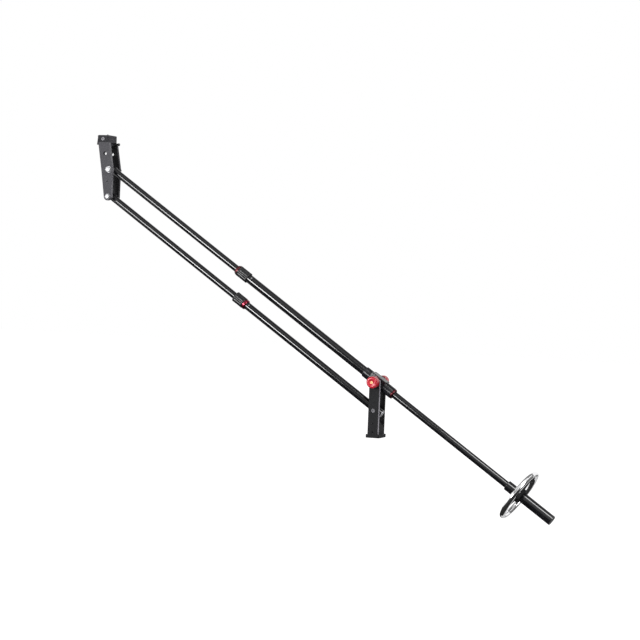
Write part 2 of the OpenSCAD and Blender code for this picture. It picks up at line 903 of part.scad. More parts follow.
// Hexagon bolt across the head with a washer under its head, on the arm's left
module cross_bolt(d, head_h, nut_h) {
    bar_y(-head_y - washer_t - nut_h - 2, head_y + washer_t, d);
    hex_y(head_y + washer_t, head_y + washer_t + head_h, hex_flats * d);
    bar_y(head_y, head_y + washer_t, washer_k * d);
}

module cross_nut(d, nut_h) {
    difference() {
        union() {
            hex_y(-head_y - washer_t - nut_h, -head_y - washer_t, hex_flats * d);
            bar_y(-head_y - washer_t - 0.01, -head_y, washer_k * d);
        }
        bar_y(-head_y - washer_t - nut_h - over, over - head_y, d + 2 * fix_gap);
    }
}

module head_pivot_bolt() {
    color(steel) on_head() cross_bolt(head_bolt_d, head_bolt_d * 0.65, head_bolt_d * 0.8);
}

module head_pivot_nut() {
    color(steel) on_head() cross_nut(head_bolt_d, head_bolt_d * 0.8);
}

module head_link_bolt() {
    color(steel) on_head() translate([0, 0, -link_gap])
        cross_bolt(link_bolt_d, link_bolt_d * 0.65, link_bolt_d * 0.8);
}

module head_link_nut() {
    color(steel) on_head() translate([0, 0, -link_gap]) cross_nut(link_bolt_d, link_bolt_d * 0.8);
}

// Spacers that keep the two stages in the middle of the head
module head_spacers() {
    color(steel) on_head() both_sides() {
        ring_y(stage_od / 2 + face_gap, gap_y, head_bolt_d + 2 * spacer_wall, head_bolt_d + 2 * fix_gap);
        translate([0, 0, -link_gap])
            ring_y(stage_od / 2 + face_gap, gap_y, link_bolt_d + 2 * spacer_wall, link_bolt_d + 2 * fix_gap);
    }
}

// Platform

// Moving front jaw, hooked down before the slab's front and drawn back by the clamp screw
module clamp_jaw() {
    front = platform_x + platform_l;
    hook_x = jaw_x + jaw_step;
    color(black) on_head() difference() {
        translate([0, platform_w / 2, 0]) rotate([90, 0, 0]) linear_extrude(platform_w) polygon([
            [front + jaw_lean, slab_z - jaw_drop], [front, jaw_z + jaw_h],
            [mid_x + neck_half + face_gap, jaw_z + jaw_h], [mid_x + foot_half + face_gap, jaw_z + foot_edge],
            [mid_x + foot_half + face_gap, jaw_z + face_gap], [jaw_x, jaw_z + face_gap],
            [jaw_x, slab_z + face_gap], [hook_x, slab_z + face_gap], [hook_x, slab_z - jaw_drop]
        ]);
        translate([0, clamp_y, clamp_z]) bar_x(0, platform_l * 2, clamp_d + 2 * run_gap);
    }
}

// Clamp screw with its small round knob behind the block
module clamp_screw() {
    front = platform_x + platform_l;
    r = clamp_knob_d / 2;
    color(pad) on_head() translate([0, clamp_y, clamp_z]) {
        bar_x(clamp_knob_x, front, clamp_d);
        turned_x([
            [clamp_knob_x - clamp_knob_l, 0], [clamp_knob_x - clamp_knob_l, r - 1.5],
            [clamp_knob_x - clamp_knob_l + 1.5, r], [clamp_knob_x - 2, r],
            [clamp_knob_x, r - 2], [clamp_knob_x, 0]
        ]);
    }
}

// Dovetail camera plate that slides across the arm between the jaws
module camera_plate() {
    color(black) on_head() difference() {
        translate([0, plate_end, 0]) rotate([90, 0, 0]) linear_extrude(plate_l) polygon([
            [mid_x - foot_half, jaw_z + face_gap], [mid_x + foot_half, jaw_z + face_gap],
            [mid_x + foot_half, jaw_z + foot_edge], [mid_x + neck_half, jaw_z + jaw_h],
            [mid_x + neck_half, plate_z], [platform_x + platform_l, plate_z],
            [platform_x + platform_l, top_z], [platform_x, top_z], [platform_x, plate_z],
            [mid_x - neck_half, plate_z], [mid_x - neck_half, jaw_z + jaw_h],
            [mid_x - foot_half, jaw_z + foot_edge]
        ]);
        translate([mid_x, 0, 0]) {
            translate([0, 0, slab_z]) cylinder(h = top_z, d = camera_screw_d + 2 * run_gap);
            translate([0, 0, slab_z])
                cylinder(h = screw_head_z + screw_head_h + run_gap - slab_z, d = screw_head_d + 1);
            translate([0, 0, stop_z])
                bar_y(plate_end - stop_in, plate_end + over, stop_d + 2 * fix_gap);
        }
    }
}

// Screw in the plate's left end, whose wide head stops the plate against the slab
module plate_stop() {
    color(steel) on_head() translate([mid_x, 0, stop_z]) {
        bar_y(plate_end - stop_in + face_gap, plate_end, stop_d);
        difference() {
            bar_y(plate_end, plate_end + stop_head_h, stop_head_d);
            hex_y(plate_end + stop_head_h / 2, plate_end + stop_head_h + over, stop_d);
        }
    }
}

module plate_pad() {
    color(pad) on_head() difference() {
        translate([platform_x + 3, plate_end - plate_l + 3, top_z])
            cube([platform_l - 6, plate_l - 6, pad_t]);
        translate([mid_x, 0, top_z - over]) cylinder(h = pad_t + 2 * over, d = camera_screw_d * 2);
    }
}

// Camera screw held in the plate from below, its thread ahead of a thinner neck
module camera_screw() {
    thread_z = top_z + pad_t;
    color(steel) on_head() translate([mid_x, 0, 0]) difference() {
        union() {
            translate([0, 0, screw_head_z]) cylinder(h = screw_head_h, d = screw_head_d);
            translate([0, 0, screw_head_z]) cylinder(h = thread_z - screw_head_z, d = screw_neck_d);
            translate([0, 0, thread_z]) cylinder(h = camera_screw_up, d = camera_screw_d);
        }
        translate([-screw_head_d, -0.8, screw_head_z - over]) cube([2 * screw_head_d, 1.6, over + 1.2]);
    }
}

foot_block();
post_plate_left();
post_plate_right();
post_screws();
tilt_bushes();
lower_pivot_bolt();
lower_pivot_nut();
lower_pivot_spacers();
boom_tube();
boom_sleeve();
tilt_studs();
friction_washers();
sleeve_ring();
boom_collet();
boom_rivets();
rear_reducer();
rear_tube();
weight_bar();
tail_cap();
wheel_hub();
wheel_rim();
wheel_set_screw();
knob_left();
knob_right();
knob_insert_left();
knob_insert_right();
knob_washers();
upper_lock_nut();
upper_lock_grip();
upper_lock_ring();
lower_lock_nut();
lower_lock_grip();
lower_lock_ring();
upper_stage();
upper_guide_ring();
upper_head_plug();
lower_rod();
lower_rod_plug();
lower_rod_rivets();
lower_stage();
lower_head_plug();
head_plate_left();
head_plate_right();
head_block();
head_screws();
head_pivot_bolt();
head_pivot_nut();
head_link_bolt();
head_link_nut();
head_spacers();
clamp_jaw();
clamp_screw();
camera_plate();
plate_stop();
plate_pad();
camera_screw();
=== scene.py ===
"""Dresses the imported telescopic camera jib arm: its meshes, finishes, studio light and camera.

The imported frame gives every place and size. New pieces are surfaces worked out with numpy in the
local frame of an axis, such as the boom's, and written in the row frame in metres.
"""

import json
import logging
import math
from dataclasses import dataclass
from enum import Enum
from typing import Any, Callable, ClassVar, NamedTuple, Sequence

import bmesh
import bpy
import numpy as np
from bpy.types import Material, Mesh, Node, NodeSocket, NodeTree, Object
from mathutils import Matrix, Vector

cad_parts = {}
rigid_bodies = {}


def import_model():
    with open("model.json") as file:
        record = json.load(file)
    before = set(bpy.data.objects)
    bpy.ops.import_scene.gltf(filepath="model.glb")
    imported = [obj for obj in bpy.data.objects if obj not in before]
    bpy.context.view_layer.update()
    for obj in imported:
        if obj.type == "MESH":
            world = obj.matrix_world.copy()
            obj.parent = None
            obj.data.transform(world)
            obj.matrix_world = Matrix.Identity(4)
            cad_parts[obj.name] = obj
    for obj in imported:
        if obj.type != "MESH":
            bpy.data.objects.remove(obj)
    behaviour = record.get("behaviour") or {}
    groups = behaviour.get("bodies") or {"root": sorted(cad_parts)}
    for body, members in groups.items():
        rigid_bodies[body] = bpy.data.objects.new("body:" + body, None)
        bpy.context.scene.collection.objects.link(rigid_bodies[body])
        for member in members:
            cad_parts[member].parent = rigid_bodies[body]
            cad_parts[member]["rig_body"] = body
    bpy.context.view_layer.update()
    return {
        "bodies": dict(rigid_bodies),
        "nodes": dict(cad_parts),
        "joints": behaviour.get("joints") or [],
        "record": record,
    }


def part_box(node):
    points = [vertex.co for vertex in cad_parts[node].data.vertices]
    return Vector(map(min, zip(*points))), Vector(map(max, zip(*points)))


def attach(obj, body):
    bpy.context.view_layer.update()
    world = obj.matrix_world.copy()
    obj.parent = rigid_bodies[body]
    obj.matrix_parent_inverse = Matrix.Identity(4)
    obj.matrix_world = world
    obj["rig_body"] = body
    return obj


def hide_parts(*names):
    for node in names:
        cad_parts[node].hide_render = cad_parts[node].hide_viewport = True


log = logging.getLogger("jib")
MM = 0.001
TAU = 2.0 * math.pi
# Gaps that keep the surfaces of two pieces apart, for a tight fit and for a loose one
FIXED_GAP = 0.02 * MM
LOOSE_GAP = 0.05 * MM
Array = np.ndarray
Point = tuple[float, float, float]


# Axes and extents


class Extent(NamedTuple):
    """What a CAD node takes up along and around an axis, in metres."""

    start: float
    end: float
    radius: float


@dataclass(frozen=True)
class Axis:
    """A local frame: x runs along the axis, y and z lie across it."""

    origin: Point
    along: Point
    side: Point

    @property
    def basis(self) -> Array:
        """Rows are the unit vectors along, side and up."""
        along = np.array(self.along, float)
        side = np.array(self.side, float)
        along /= np.linalg.norm(along)
        side /= np.linalg.norm(side)
        return np.stack([along, side, np.cross(along, side)])

    def place(self, local: Array) -> Array:
        """Turns points of the local frame into points of the row frame."""
        return local @ self.basis + np.array(self.origin, float)

    def local(self, points: Array) -> Array:
        """Turns points of the row frame into points of the local frame."""
        return (points - np.array(self.origin, float)) @ self.basis.T

    def extent(self, node: str) -> Extent:
        """Measures a CAD node along and around this axis."""
        local = self.local(node_points(node))
        radius = float(np.hypot(local[:, 1], local[:, 2]).max())
        return Extent(float(local[:, 0].min()), float(local[:, 0].max()), radius)

    def nearest(self, node: str) -> float:
        """Distance along the axis from its origin to the nearest point of a CAD node."""
        return float(np.abs(self.local(node_points(node))[:, 0]).min())


def node_points(node: str) -> Array:
    """Every vertex of a CAD node in the row frame, as an array of rows."""
    mesh = bpy.data.objects[node].data
    points = np.zeros(len(mesh.vertices) * 3, np.float32)
    mesh.vertices.foreach_get("co", points)
    return points.reshape(-1, 3).astype(float)


def hinge_axis(frame: dict, joint: str) -> Point:
    """A point on a hinge's axis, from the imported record, in metres."""
    for entry in frame["joints"]:
        if entry["name"] == joint:
            return tuple(float(v) for v in entry["pos_m"])
    raise KeyError(joint)


# Outlines and surfaces


def softened(corners: Sequence[tuple[float, float]], size: float, steps: int = 4) -> Array:
    """Rounds every inner corner of an open outline.

    Each corner C gives way to the curve (1-t)^2 A + 2 t (1-t) C + t^2 B, where A and B lie on the
    two edges at the given distance from C, or at 45% of a shorter edge.

    Args:
        corners: The outline's points.
        size: Distance from a corner to where its curve starts.
        steps: Number of straight stretches in each curve.

    Returns:
        The rounded outline's points as rows.
    """
    outline = np.array(corners, float)
    before, corner, after = outline[:-2], outline[1:-1], outline[2:]
    into, out = before - corner, after - corner
    into_length = np.linalg.norm(into, axis=1, keepdims=True)
    out_length = np.linalg.norm(out, axis=1, keepdims=True)
    first = corner + into / into_length * np.minimum(size, 0.45 * into_length)
    last = corner + out / out_length * np.minimum(size, 0.45 * out_length)
    t = np.linspace(0.0, 1.0, steps + 1)[None, :, None]
    weights = (1 - t) ** 2, 2 * t * (1 - t), t**2
    curves = sum(w * p[:, None] for w, p in zip(weights, (first, corner, last)))
    return np.concatenate([outline[:1], curves.reshape(-1, 2), outline[-1:]])


def closed_loop(corners: Sequence[tuple[float, float]], size: float) -> Array:
    """Rounds a closed outline, which starts half-way between its last and its first corner.

    Args:
        corners: The outline's corners, of which the first and the last lie at the same x.
        size: Distance from a corner to where its curve starts.

    Returns:
        The rounded outline's points as rows, without a second copy of its start.
    """
    middle = (corners[0][0], 0.5 * (corners[-1][1] + corners[0][1]))
    return softened([middle, *corners, middle], size)[:-1]


@dataclass
class Surface:
    """A mesh worked out as arrays: local points, faces, and a UV pair for each point."""

    points: Array
    faces: list
    uv: Array

    def joined(self, *others: "Surface") -> "Surface":
        """This surface and other ones as one."""
        whole = self
        for other in others:
            shift = len(whole.points)
            whole = Surface(
                np.concatenate([whole.points, other.points]),
                whole.faces + [[k + shift for k in face] for face in other.faces],
                np.concatenate([whole.uv, other.uv]),
            )
        return whole

    def moved(self, x: float) -> "Surface":
        """The same surface, moved along its local x."""
        return Surface(self.points + np.array([x, 0.0, 0.0]), self.faces, self.uv)

    def turned(self, rows: Array) -> "Surface":
        """The same surface, turned by a matrix that multiplies its points from the right."""
        return Surface(self.points @ rows, self.faces, self.uv)

    def reversed(self) -> "Surface":
        """The same surface, turned about its local y to look the other way."""
        return self.turned(np.diag([-1.0, 1.0, -1.0]))


RadiusChange = Callable[[Array, Array, Array], Array]


def lathe(
    profile: Array,
    segments: int = 96,
    change: RadiusChange | None = None,
    closed: bool = False,
) -> Surface:
    """Turns a profile about the local x axis.

    The point at angle a and profile row (x, r) is (x, r' cos a, r' sin a), where r' is r or what
    change(x, r, a) makes of it. An open profile gets a flat cap at each end. Every face looks
    outwards.

    Args:
        profile: Rows of place along x and radius, in metres, from low x to high x on the outside.
        segments: Number of points round the axis.
        change: Optional function of the arrays x, r and a that gives the radius.
        closed: Whether the profile's last row joins its first, as on a ring with a bore.

    Returns:
        The turned surface, with the angle and the length along the profile as UV.
    """
    rows = len(profile)
    x = np.repeat(profile[:, :1], segments, axis=1)
    r = np.repeat(profile[:, 1:], segments, axis=1)
    a = np.repeat((np.arange(segments) * TAU / segments)[None, :], rows, axis=0)
    if change is not None:
        r = change(x, r, a)
    points = np.stack([x, r * np.cos(a), r * np.sin(a)], -1).reshape(-1, 3)
    run = np.concatenate([[0.0], np.cumsum(np.hypot(*np.diff(profile, axis=0).T))])
    uv = np.stack([a / TAU, np.repeat(run[:, None], segments, axis=1)], -1).reshape(-1, 2)
    i = np.arange(rows if closed else rows - 1)[:, None] * segments
    j = np.arange(segments)[None, :]
    i2, j2 = (i + segments) % (rows * segments), (j + 1) % segments
    faces = np.stack([i + j, i + j2, i2 + j2, i2 + j], -1).reshape(-1, 4).tolist()
    if not closed:
        last = (rows - 1) * segments
        faces += [list(range(segments))[::-1], list(range(last, last + segments))]
    return Surface(points, faces, uv)


def ring_profile(start: float, end: float, outer: float, inner: float, soft: float) -> Array:
    """Closed profile of a ring with rounded edges, in metres."""
    soft = min(soft, 0.4 * (end - start), 0.4 * (outer - inner))
    return closed_loop([(start, outer), (end, outer), (end, inner), (start, inner)], soft)


def bar_profile(start: float, end: float, radius: float, soft: float) -> Array:
    """Open profile of a solid bar with rounded ends, in metres."""
    core = 0.35 * radius
    return softened([(start, core), (start, radius), (end, radius), (end, core)], soft)


def threaded(pitch: float, depth: float) -> RadiusChange:
    """A screw thread: the radius falls by depth times a triangle wave of x / pitch - a / (2 pi)."""

    def change(x: Array, r: Array, a: Array) -> Array:
        wave = np.abs(2.0 * ((x / pitch - a / TAU) % 1.0) - 1.0)
        return r - depth * wave

    return change


def thread_rows(start: float, end: float, length: float, radius: float, pitch: float) -> Array:
    """Profile rows from start to end: ten for each pitch in the length, and at least eight."""
    rows = max(int(length / pitch * 10), 8)
    return np.stack([np.linspace(start, end, rows), np.full(rows, radius)], -1)


def hexagonal(flats: float, top: float) -> RadiusChange:
    """A hexagon whose corners are cut by a cone near its top.

    The radius is flats / 2 / cos(a - middle of its side), and at most that of a cone, which starts
    at the chamfer's length below the top with the corners' radius and narrows by the slope.
    """
    chamfer, slope = 1.4 * MM, 1.7

    def change(x: Array, r: Array, a: Array) -> Array:
        side = (a + TAU / 12) % (TAU / 6) - TAU / 12
        flat = 0.5 * flats / np.cos(side)
        corner = 0.5 * flats / math.cos(TAU / 12)
        cone = corner - np.clip(x - (top - chamfer), 0.0, None) * slope
        return np.where(r < 0.45 * flats, r, np.minimum(flat, cone))

    return change


def hexagon_rows(start: float, end: float, flats: float, foot: float, soft: float) -> list:
    """Profile rows of a hexagon from its seat to the edge of its top.

    Args:
        start: Place of the seat along the axis.
        end: Place of the top.
        flats: Width across flats.
        foot: Radius at the seat, as a share of the width.
        soft: Height of the seat's bevel.

    Returns:
        The rows, close together near the top, where the cone cuts the corners.
    """
    wide, edge = 0.57 * flats, 0.46 * flats
    tops = [(end - back, wide) for back in (1.6 * MM, 0.8 * MM, 0.3 * MM)]
    return [(start, foot * flats), (start + soft, wide), *tops, (end, edge)]


# Shader nodes and groups


def feed(tree: NodeTree, node: Node, inputs: dict[Any, Any]) -> None:
    """Gives a node's inputs, by name or number, a value or a link from another node's output."""
    for name, value in inputs.items():
        if isinstance(value, NodeSocket):
            tree.links.new(value, node.inputs[name])
        else:
            node.inputs[name].default_value = value


def add_node(
    tree: NodeTree, kind: str, output: str, inputs: dict[Any, Any] | None = None, **settings: Any
) -> NodeSocket:
    """Adds a shader node.

    Args:
        tree: The node tree.
        kind: The node's type.
        output: Name of the output that other nodes use.
        inputs: A value or a link for each input that needs one.
        settings: The node's own properties, which are set before its inputs.

    Returns:
        The output.
    """
    node = tree.nodes.new(kind)
    for name, value in settings.items():
        setattr(node, name, value)
    feed(tree, node, inputs or {})
    return node.outputs[output]


def product(tree: NodeTree, first: Any, second: Any) -> NodeSocket:
    """Multiplies two numbers or links."""
    return add_node(tree, "ShaderNodeMath", "Value", {0: first, 1: second}, operation="MULTIPLY")


def line(tree: NodeTree, x: Any, slope: float, base: Any) -> NodeSocket:
    """Works out slope times x plus base."""
    inputs = {0: x, 1: slope, 2: base}
    return add_node(tree, "ShaderNodeMath", "Value", inputs, operation="MULTIPLY_ADD")


def mixed(
    tree: NodeTree, share: Any, first: Any, second: Any, data_type: str = "RGBA"
) -> NodeSocket:
    """Mixes two colours or numbers, of which the second takes the given share."""
    inputs = {"Factor": share, "A": first, "B": second}
    return add_node(tree, "ShaderNodeMix", "Result", inputs, data_type=data_type)


def ramp(
    tree: NodeTree, x: NodeSocket, limits: tuple[float, float], ends: tuple[float, float]
) -> NodeSocket:
    """Goes smoothly from one end to the other while x goes from one limit to the other."""
    names = ("From Min", "From Max", "To Min", "To Max")
    inputs = {"Value": x, **dict(zip(names, limits + ends))}
    smooth = "SMOOTHSTEP"
    return add_node(tree, "ShaderNodeMapRange", "Result", inputs, interpolation_type=smooth)


def object_noise(tree: NodeTree, scale: NodeSocket, **values: float) -> NodeSocket:
    """Noise that stays fixed to the object."""
    place = add_node(tree, "ShaderNodeTexCoord", "Object")
    return add_node(tree, "ShaderNodeTexNoise", "Fac", {"Vector": place, "Scale": scale, **values})


def grey(level: float) -> tuple[float, float, float, float]:
    """An opaque grey."""
    return (level, level, level, 1.0)


class GroupKind(Enum):
    """The effects that several finishes share."""

    GRAIN = "fine_grain"
    TURNING = "turning_marks"
    SMUDGE = "smudges"
    DUST = "settled_dust"


class Effects:
    """Builds each shader node group once."""

    def __init__(self) -> None:
        """Makes all the groups."""
        self._groups = {
            GroupKind.GRAIN: self._grain(),
            GroupKind.TURNING: self._turning(),
            GroupKind.SMUDGE: self._smudge(),
            GroupKind.DUST: self._dust(),
        }

    def place(self, tree: NodeTree, kind: GroupKind, **values: float) -> Any:
        """Places one of the groups in a material, with its own values, and returns its outputs."""
        node = tree.nodes.new("ShaderNodeGroup")
        node.node_tree = self._groups[kind]
        feed(tree, node, values)
        return node.outputs

    @staticmethod
    def _new(kind: GroupKind, inputs: dict[str, float], outputs: Sequence[str]) -> tuple:
        """Makes an empty group with number sockets.

        Args:
            kind: Which effect it is.
            inputs: Name and default of each input.
            outputs: Names of the outputs.

        Returns:
            The group, what it is given and its output node.
        """
        group = bpy.data.node_groups.new(kind.value, "ShaderNodeTree")
        for name, value in inputs.items():
            socket = group.interface.new_socket(name, in_out="INPUT", socket_type="NodeSocketFloat")
            socket.default_value = value
        for name in outputs:
            group.interface.new_socket(name, in_out="OUTPUT", socket_type="NodeSocketFloat")
        given = group.nodes.new("NodeGroupInput").outputs
        return group, given, group.nodes.new("NodeGroupOutput")

    @staticmethod
    def _put_out(group: NodeTree, noise: NodeSocket, out: Node) -> None:
        """Puts noise out as Height, and its middle range stretched to -1 to 1 as Shade."""
        middle = {"Value": noise, "From Min": 0.3, "From Max": 0.7, "To Min": -1.0}
        shade = add_node(group, "ShaderNodeMapRange", "Result", middle)
        feed(group, out, {"Height": noise, "Shade": shade})

    def _grain(self) -> NodeTree:
        """Fine even noise: Height for a bump and Shade from -1 to 1 for a roughness change."""
        group, given, out = self._new(GroupKind.GRAIN, {"Scale": 900.0}, ["Height", "Shade"])
        noise = object_noise(group, given["Scale"], Detail=3.0, Roughness=0.6)
        self._put_out(group, noise, out)
        return group

    def _turning(self) -> NodeTree:
        """Lines round a turned piece: noise that changes only along its profile, from the UV."""
        group, given, out = self._new(GroupKind.TURNING, {"Scale": 2500.0}, ["Height", "Shade"])
        place = add_node(group, "ShaderNodeUVMap", "UV")
        along = add_node(group, "ShaderNodeSeparateXYZ", "Y", {"Vector": place})
        inputs = {"W": product(group, along, given["Scale"]), "Scale": 1.0, "Detail": 2.0}
        noise = add_node(group, "ShaderNodeTexNoise", "Fac", inputs, noise_dimensions="1D")
        self._put_out(group, noise, out)
        return group

    def _smudge(self) -> NodeTree:
        """Broad uneven patches from handling: Mask from 0 to 1."""
        group, given, out = self._new(GroupKind.SMUDGE, {"Scale": 28.0}, ["Mask"])
        noise = object_noise(group, given["Scale"], Detail=5.0, Roughness=0.55, Distortion=0.6)
        feed(group, out, {"Mask": ramp(group, noise, (0.42, 0.66), (0.0, 1.0))})
        return group

    def _dust(self) -> NodeTree:
        """Thin dust on faces that look up: Mask from 0 to Amount."""
        group, given, out = self._new(GroupKind.DUST, {"Amount": 0.1, "Scale": 220.0}, ["Mask"])
        normal = add_node(group, "ShaderNodeNewGeometry", "Normal")
        height = add_node(group, "ShaderNodeSeparateXYZ", "Z", {"Vector": normal})
        limits = {"Value": height, "From Min": 0.55, "From Max": 1.0}
        upward = add_node(group, "ShaderNodeMapRange", "Result", limits)
        noise = object_noise(group, given["Scale"], Detail=6.0, Roughness=0.7)
        patchy = product(group, upward, noise)
        feed(group, out, {"Mask": product(group, patchy, given["Amount"])})
        return group


# Finishes


RELIEF = 0.2 * MM
DUST_COLOUR = (0.42, 0.41, 0.39, 1.0)


@dataclass(frozen=True)
class Finish:
    """A surface finish: a Principled shader whose colour, roughness and bump change over it.

    The edge is the name of the finish that a piece's rounded edges have, where it differs.
    """

    name: str
    colour: Point
    second_colour: Point
    roughness: float
    metallic: float = 0.0
    specular: float = 0.5
    coat: float = 0.0
    coat_roughness: float = 0.22
    texture: GroupKind = GroupKind.GRAIN
    texture_scale: float = 1600.0
    texture_bump: float = 0.02
    roughness_spread: float = 0.06
    smudge_roughness: float = 0.08
    dust: float = 0.0
    edge: str = ""

    def build(self, effects: Effects) -> Material:
        """Makes the material.

        Args:
            effects: The shared node groups.

        Returns:
            A material whose Principled shader takes its colour from two close tones and dust, its
            roughness from the fine texture and smudges, and its normal from the fine texture.
        """
        material = bpy.data.materials.new(self.name)
        material.use_nodes = True
        tree = material.node_tree
        fine = effects.place(tree, self.texture, Scale=self.texture_scale)
        smudge = effects.place(tree, GroupKind.SMUDGE)["Mask"]
        dust = effects.place(tree, GroupKind.DUST, Amount=self.dust)["Mask"]
        tones = mixed(tree, smudge, (*self.colour, 1.0), (*self.second_colour, 1.0))
        roughness = line(tree, fine["Shade"], self.roughness_spread, self.roughness)
        relief = {"Strength": self.texture_bump, "Distance": RELIEF, "Height": fine["Height"]}
        feed(tree, tree.nodes["Principled BSDF"], {
            "Base Color": mixed(tree, dust, tones, DUST_COLOUR),
            "Metallic": self.metallic,
            "Roughness": line(tree, smudge, self.smudge_roughness, roughness),
            "Specular IOR Level": self.specular,
            "Coat Weight": self.coat,
            "Coat Roughness": self.coat_roughness,
            "Normal": add_node(tree, "ShaderNodeBump", "Normal", relief),
        })
        return material


Palette = dict[str, Material]
FINISHES = {finish.name: finish for finish in (
    Finish(
        "tube_black", (0.004, 0.004, 0.005), (0.006, 0.006, 0.007), 0.12, texture_scale=420.0,
        texture_bump=0.001, roughness_spread=0.01, smudge_roughness=0.02, dust=0.004,
    ),
    Finish(
        "plate_black", (0.006, 0.006, 0.007), (0.009, 0.009, 0.010), 0.68,
        specular=0.18, dust=0.004, edge="plate_black_edge",
    ),
    Finish(
        "plate_black_edge", (0.008, 0.008, 0.009), (0.006, 0.006, 0.007), 0.55,
        specular=0.25, dust=0.002,
    ),
    # Lighter grey painted on the left post plate's faces towards the tail: painted light
    Finish(
        "plate_strip", (0.22, 0.21, 0.235), (0.18, 0.17, 0.195), 0.46,
        texture=GroupKind.TURNING, dust=0.01,
    ),
    # Grey painted on the left head plate's faces towards the tail: painted light
    Finish("head_strip", (0.10, 0.098, 0.108), (0.085, 0.083, 0.092), 0.50, dust=0.01),
    Finish(
        "platform_black", (0.016, 0.016, 0.018), (0.021, 0.021, 0.023), 0.64,
        specular=0.12, dust=0.006, edge="plate_black_edge",
    ),
    Finish(
        "head_grey", (0.031, 0.030, 0.035), (0.036, 0.035, 0.040), 0.60,
        specular=0.24, texture_bump=0.015, dust=0.008, edge="head_grey_edge",
    ),
    Finish(
        "head_grey_edge", (0.045, 0.044, 0.052), (0.036, 0.035, 0.042), 0.40,
        texture_bump=0.03, dust=0.01,
    ),
    Finish(
        "sleeve_black", (0.005, 0.005, 0.007), (0.008, 0.008, 0.010), 0.20, specular=0.48,
        texture_scale=1500.0, texture_bump=0.008, roughness_spread=0.02, dust=0.002,
        edge="plate_black_edge",
    ),
    Finish(
        "grip_rubber", (0.004, 0.004, 0.005), (0.006, 0.006, 0.007), 0.38, specular=0.44,
        texture_scale=1400.0, texture_bump=0.01, roughness_spread=0.02, dust=0.002,
    ),
    Finish(
        "knob_red", (0.36, 0.005, 0.018), (0.31, 0.004, 0.015), 0.27, specular=0.6,
        texture_scale=700.0, texture_bump=0.004, roughness_spread=0.01,
    ),
    Finish(
        "ring_red", (0.25, 0.012, 0.032), (0.21, 0.009, 0.025), 0.32, metallic=1.0, coat=0.5,
        texture=GroupKind.TURNING, texture_scale=900.0,
    ),
    Finish(
        "ring_dark_red", (0.11, 0.012, 0.018), (0.09, 0.009, 0.014), 0.34, metallic=1.0, coat=0.5,
        texture=GroupKind.TURNING, texture_scale=900.0,
    ),
    Finish(
        "steel", (0.50, 0.50, 0.52), (0.42, 0.42, 0.44), 0.34, metallic=1.0,
        texture=GroupKind.TURNING, texture_scale=3200.0, texture_bump=0.10,
    ),
    Finish(
        "steel_cast", (0.42, 0.42, 0.43), (0.34, 0.34, 0.35), 0.60, metallic=1.0,
        texture_scale=1800.0, texture_bump=0.03,
    ),
    Finish(
        "steel_dull", (0.15, 0.148, 0.158), (0.12, 0.118, 0.126), 0.62, metallic=1.0,
        texture_scale=1800.0, texture_bump=0.03,
    ),
    Finish(
        "chrome", (0.93, 0.93, 0.94), (0.88, 0.88, 0.89), 0.05, metallic=1.0,
        texture_scale=300.0, texture_bump=0.006, roughness_spread=0.015, smudge_roughness=0.05,
    ),
    Finish(
        "brass", (0.46, 0.25, 0.13), (0.38, 0.20, 0.10), 0.45, metallic=1.0,
        texture=GroupKind.TURNING, texture_scale=3000.0, texture_bump=0.08,
    ),
    Finish(
        "nylon", (0.66, 0.65, 0.60), (0.60, 0.59, 0.54), 0.45,
        texture_scale=1200.0, texture_bump=0.05,
    ),
    Finish(
        "plastic_black", (0.020, 0.020, 0.021), (0.026, 0.026, 0.027), 0.40,
        texture_scale=1400.0, texture_bump=0.14, dust=0.05,
    ),
    Finish(
        "pad_rubber", (0.030, 0.030, 0.031), (0.038, 0.038, 0.039), 0.72,
        specular=0.3, texture_scale=2400.0, texture_bump=0.3, dust=0.12,
    ),
)}


# Pieces


SHARP_DEGREES = 35.0
ROUNDED_DEGREES = 32.0
# Material slots of a rounded piece: its rounded edges, its faces towards the tail with painted light,
# its faces towards the middle with painted shade
EDGE, PAINTED_LIGHT, PAINTED_SHADE = 1, 2, 3


def show(name: str, mesh: Mesh, body: str, slot: str, *nodes: str) -> Object:
    """Makes an object of a mesh and fastens it to a body.

    Args:
        name: The piece's name.
        mesh: Its mesh.
        body: The CAD body that the piece rides on.
        slot: The record's material slot; not used.
        nodes: The CAD nodes that the piece replaces.

    Returns:
        The new object.
    """
    piece = bpy.data.objects.new(name, mesh)
    bpy.context.scene.collection.objects.link(piece)
    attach(piece, body)
    if nodes:
        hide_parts(*nodes)
    log.info("%s: %d faces on %s", name, len(mesh.polygons), body)
    return piece


def smoothed(mesh: Mesh, sharp: float) -> None:
    """Shades a mesh smooth, with edges above the given angle in degrees kept sharp."""
    mesh.polygons.foreach_set("use_smooth", np.ones(len(mesh.polygons), bool))
    mesh.set_sharp_from_angle(angle=math.radians(sharp))


@dataclass(frozen=True)
class Turned:
    """A piece that is turned about an axis.

    The node is the CAD node that it replaces, or empty for a piece that only the scene has. Edges
    above the sharp angle, in degrees, stay sharp.
    """

    name: str
    node: str
    axis: Axis
    finish: str
    body: str
    slot: str
    sharp: float = SHARP_DEGREES

    @property
    def reach(self) -> Extent:
        """What its CAD node takes up along and around its axis."""
        return self.axis.extent(self.node)

    def write(self, surface: Surface, palette: Palette) -> None:
        """Makes the Blender object of a surface that is given in the axis's local frame."""
        mesh = bpy.data.meshes.new(self.name)
        mesh.from_pydata(self.axis.place(surface.points).tolist(), [], surface.faces)
        layer = mesh.uv_layers.new(name="UVMap")
        corners = np.zeros(len(mesh.loops), np.int32)
        mesh.loops.foreach_get("vertex_index", corners)
        layer.data.foreach_set("uv", surface.uv[corners].astype(np.float32).ravel())
        mesh.materials.append(palette[self.finish])
        smoothed(mesh, self.sharp)
        mesh.update()
        show(self.name, mesh, self.body, self.slot, *([self.node] if self.node else []))


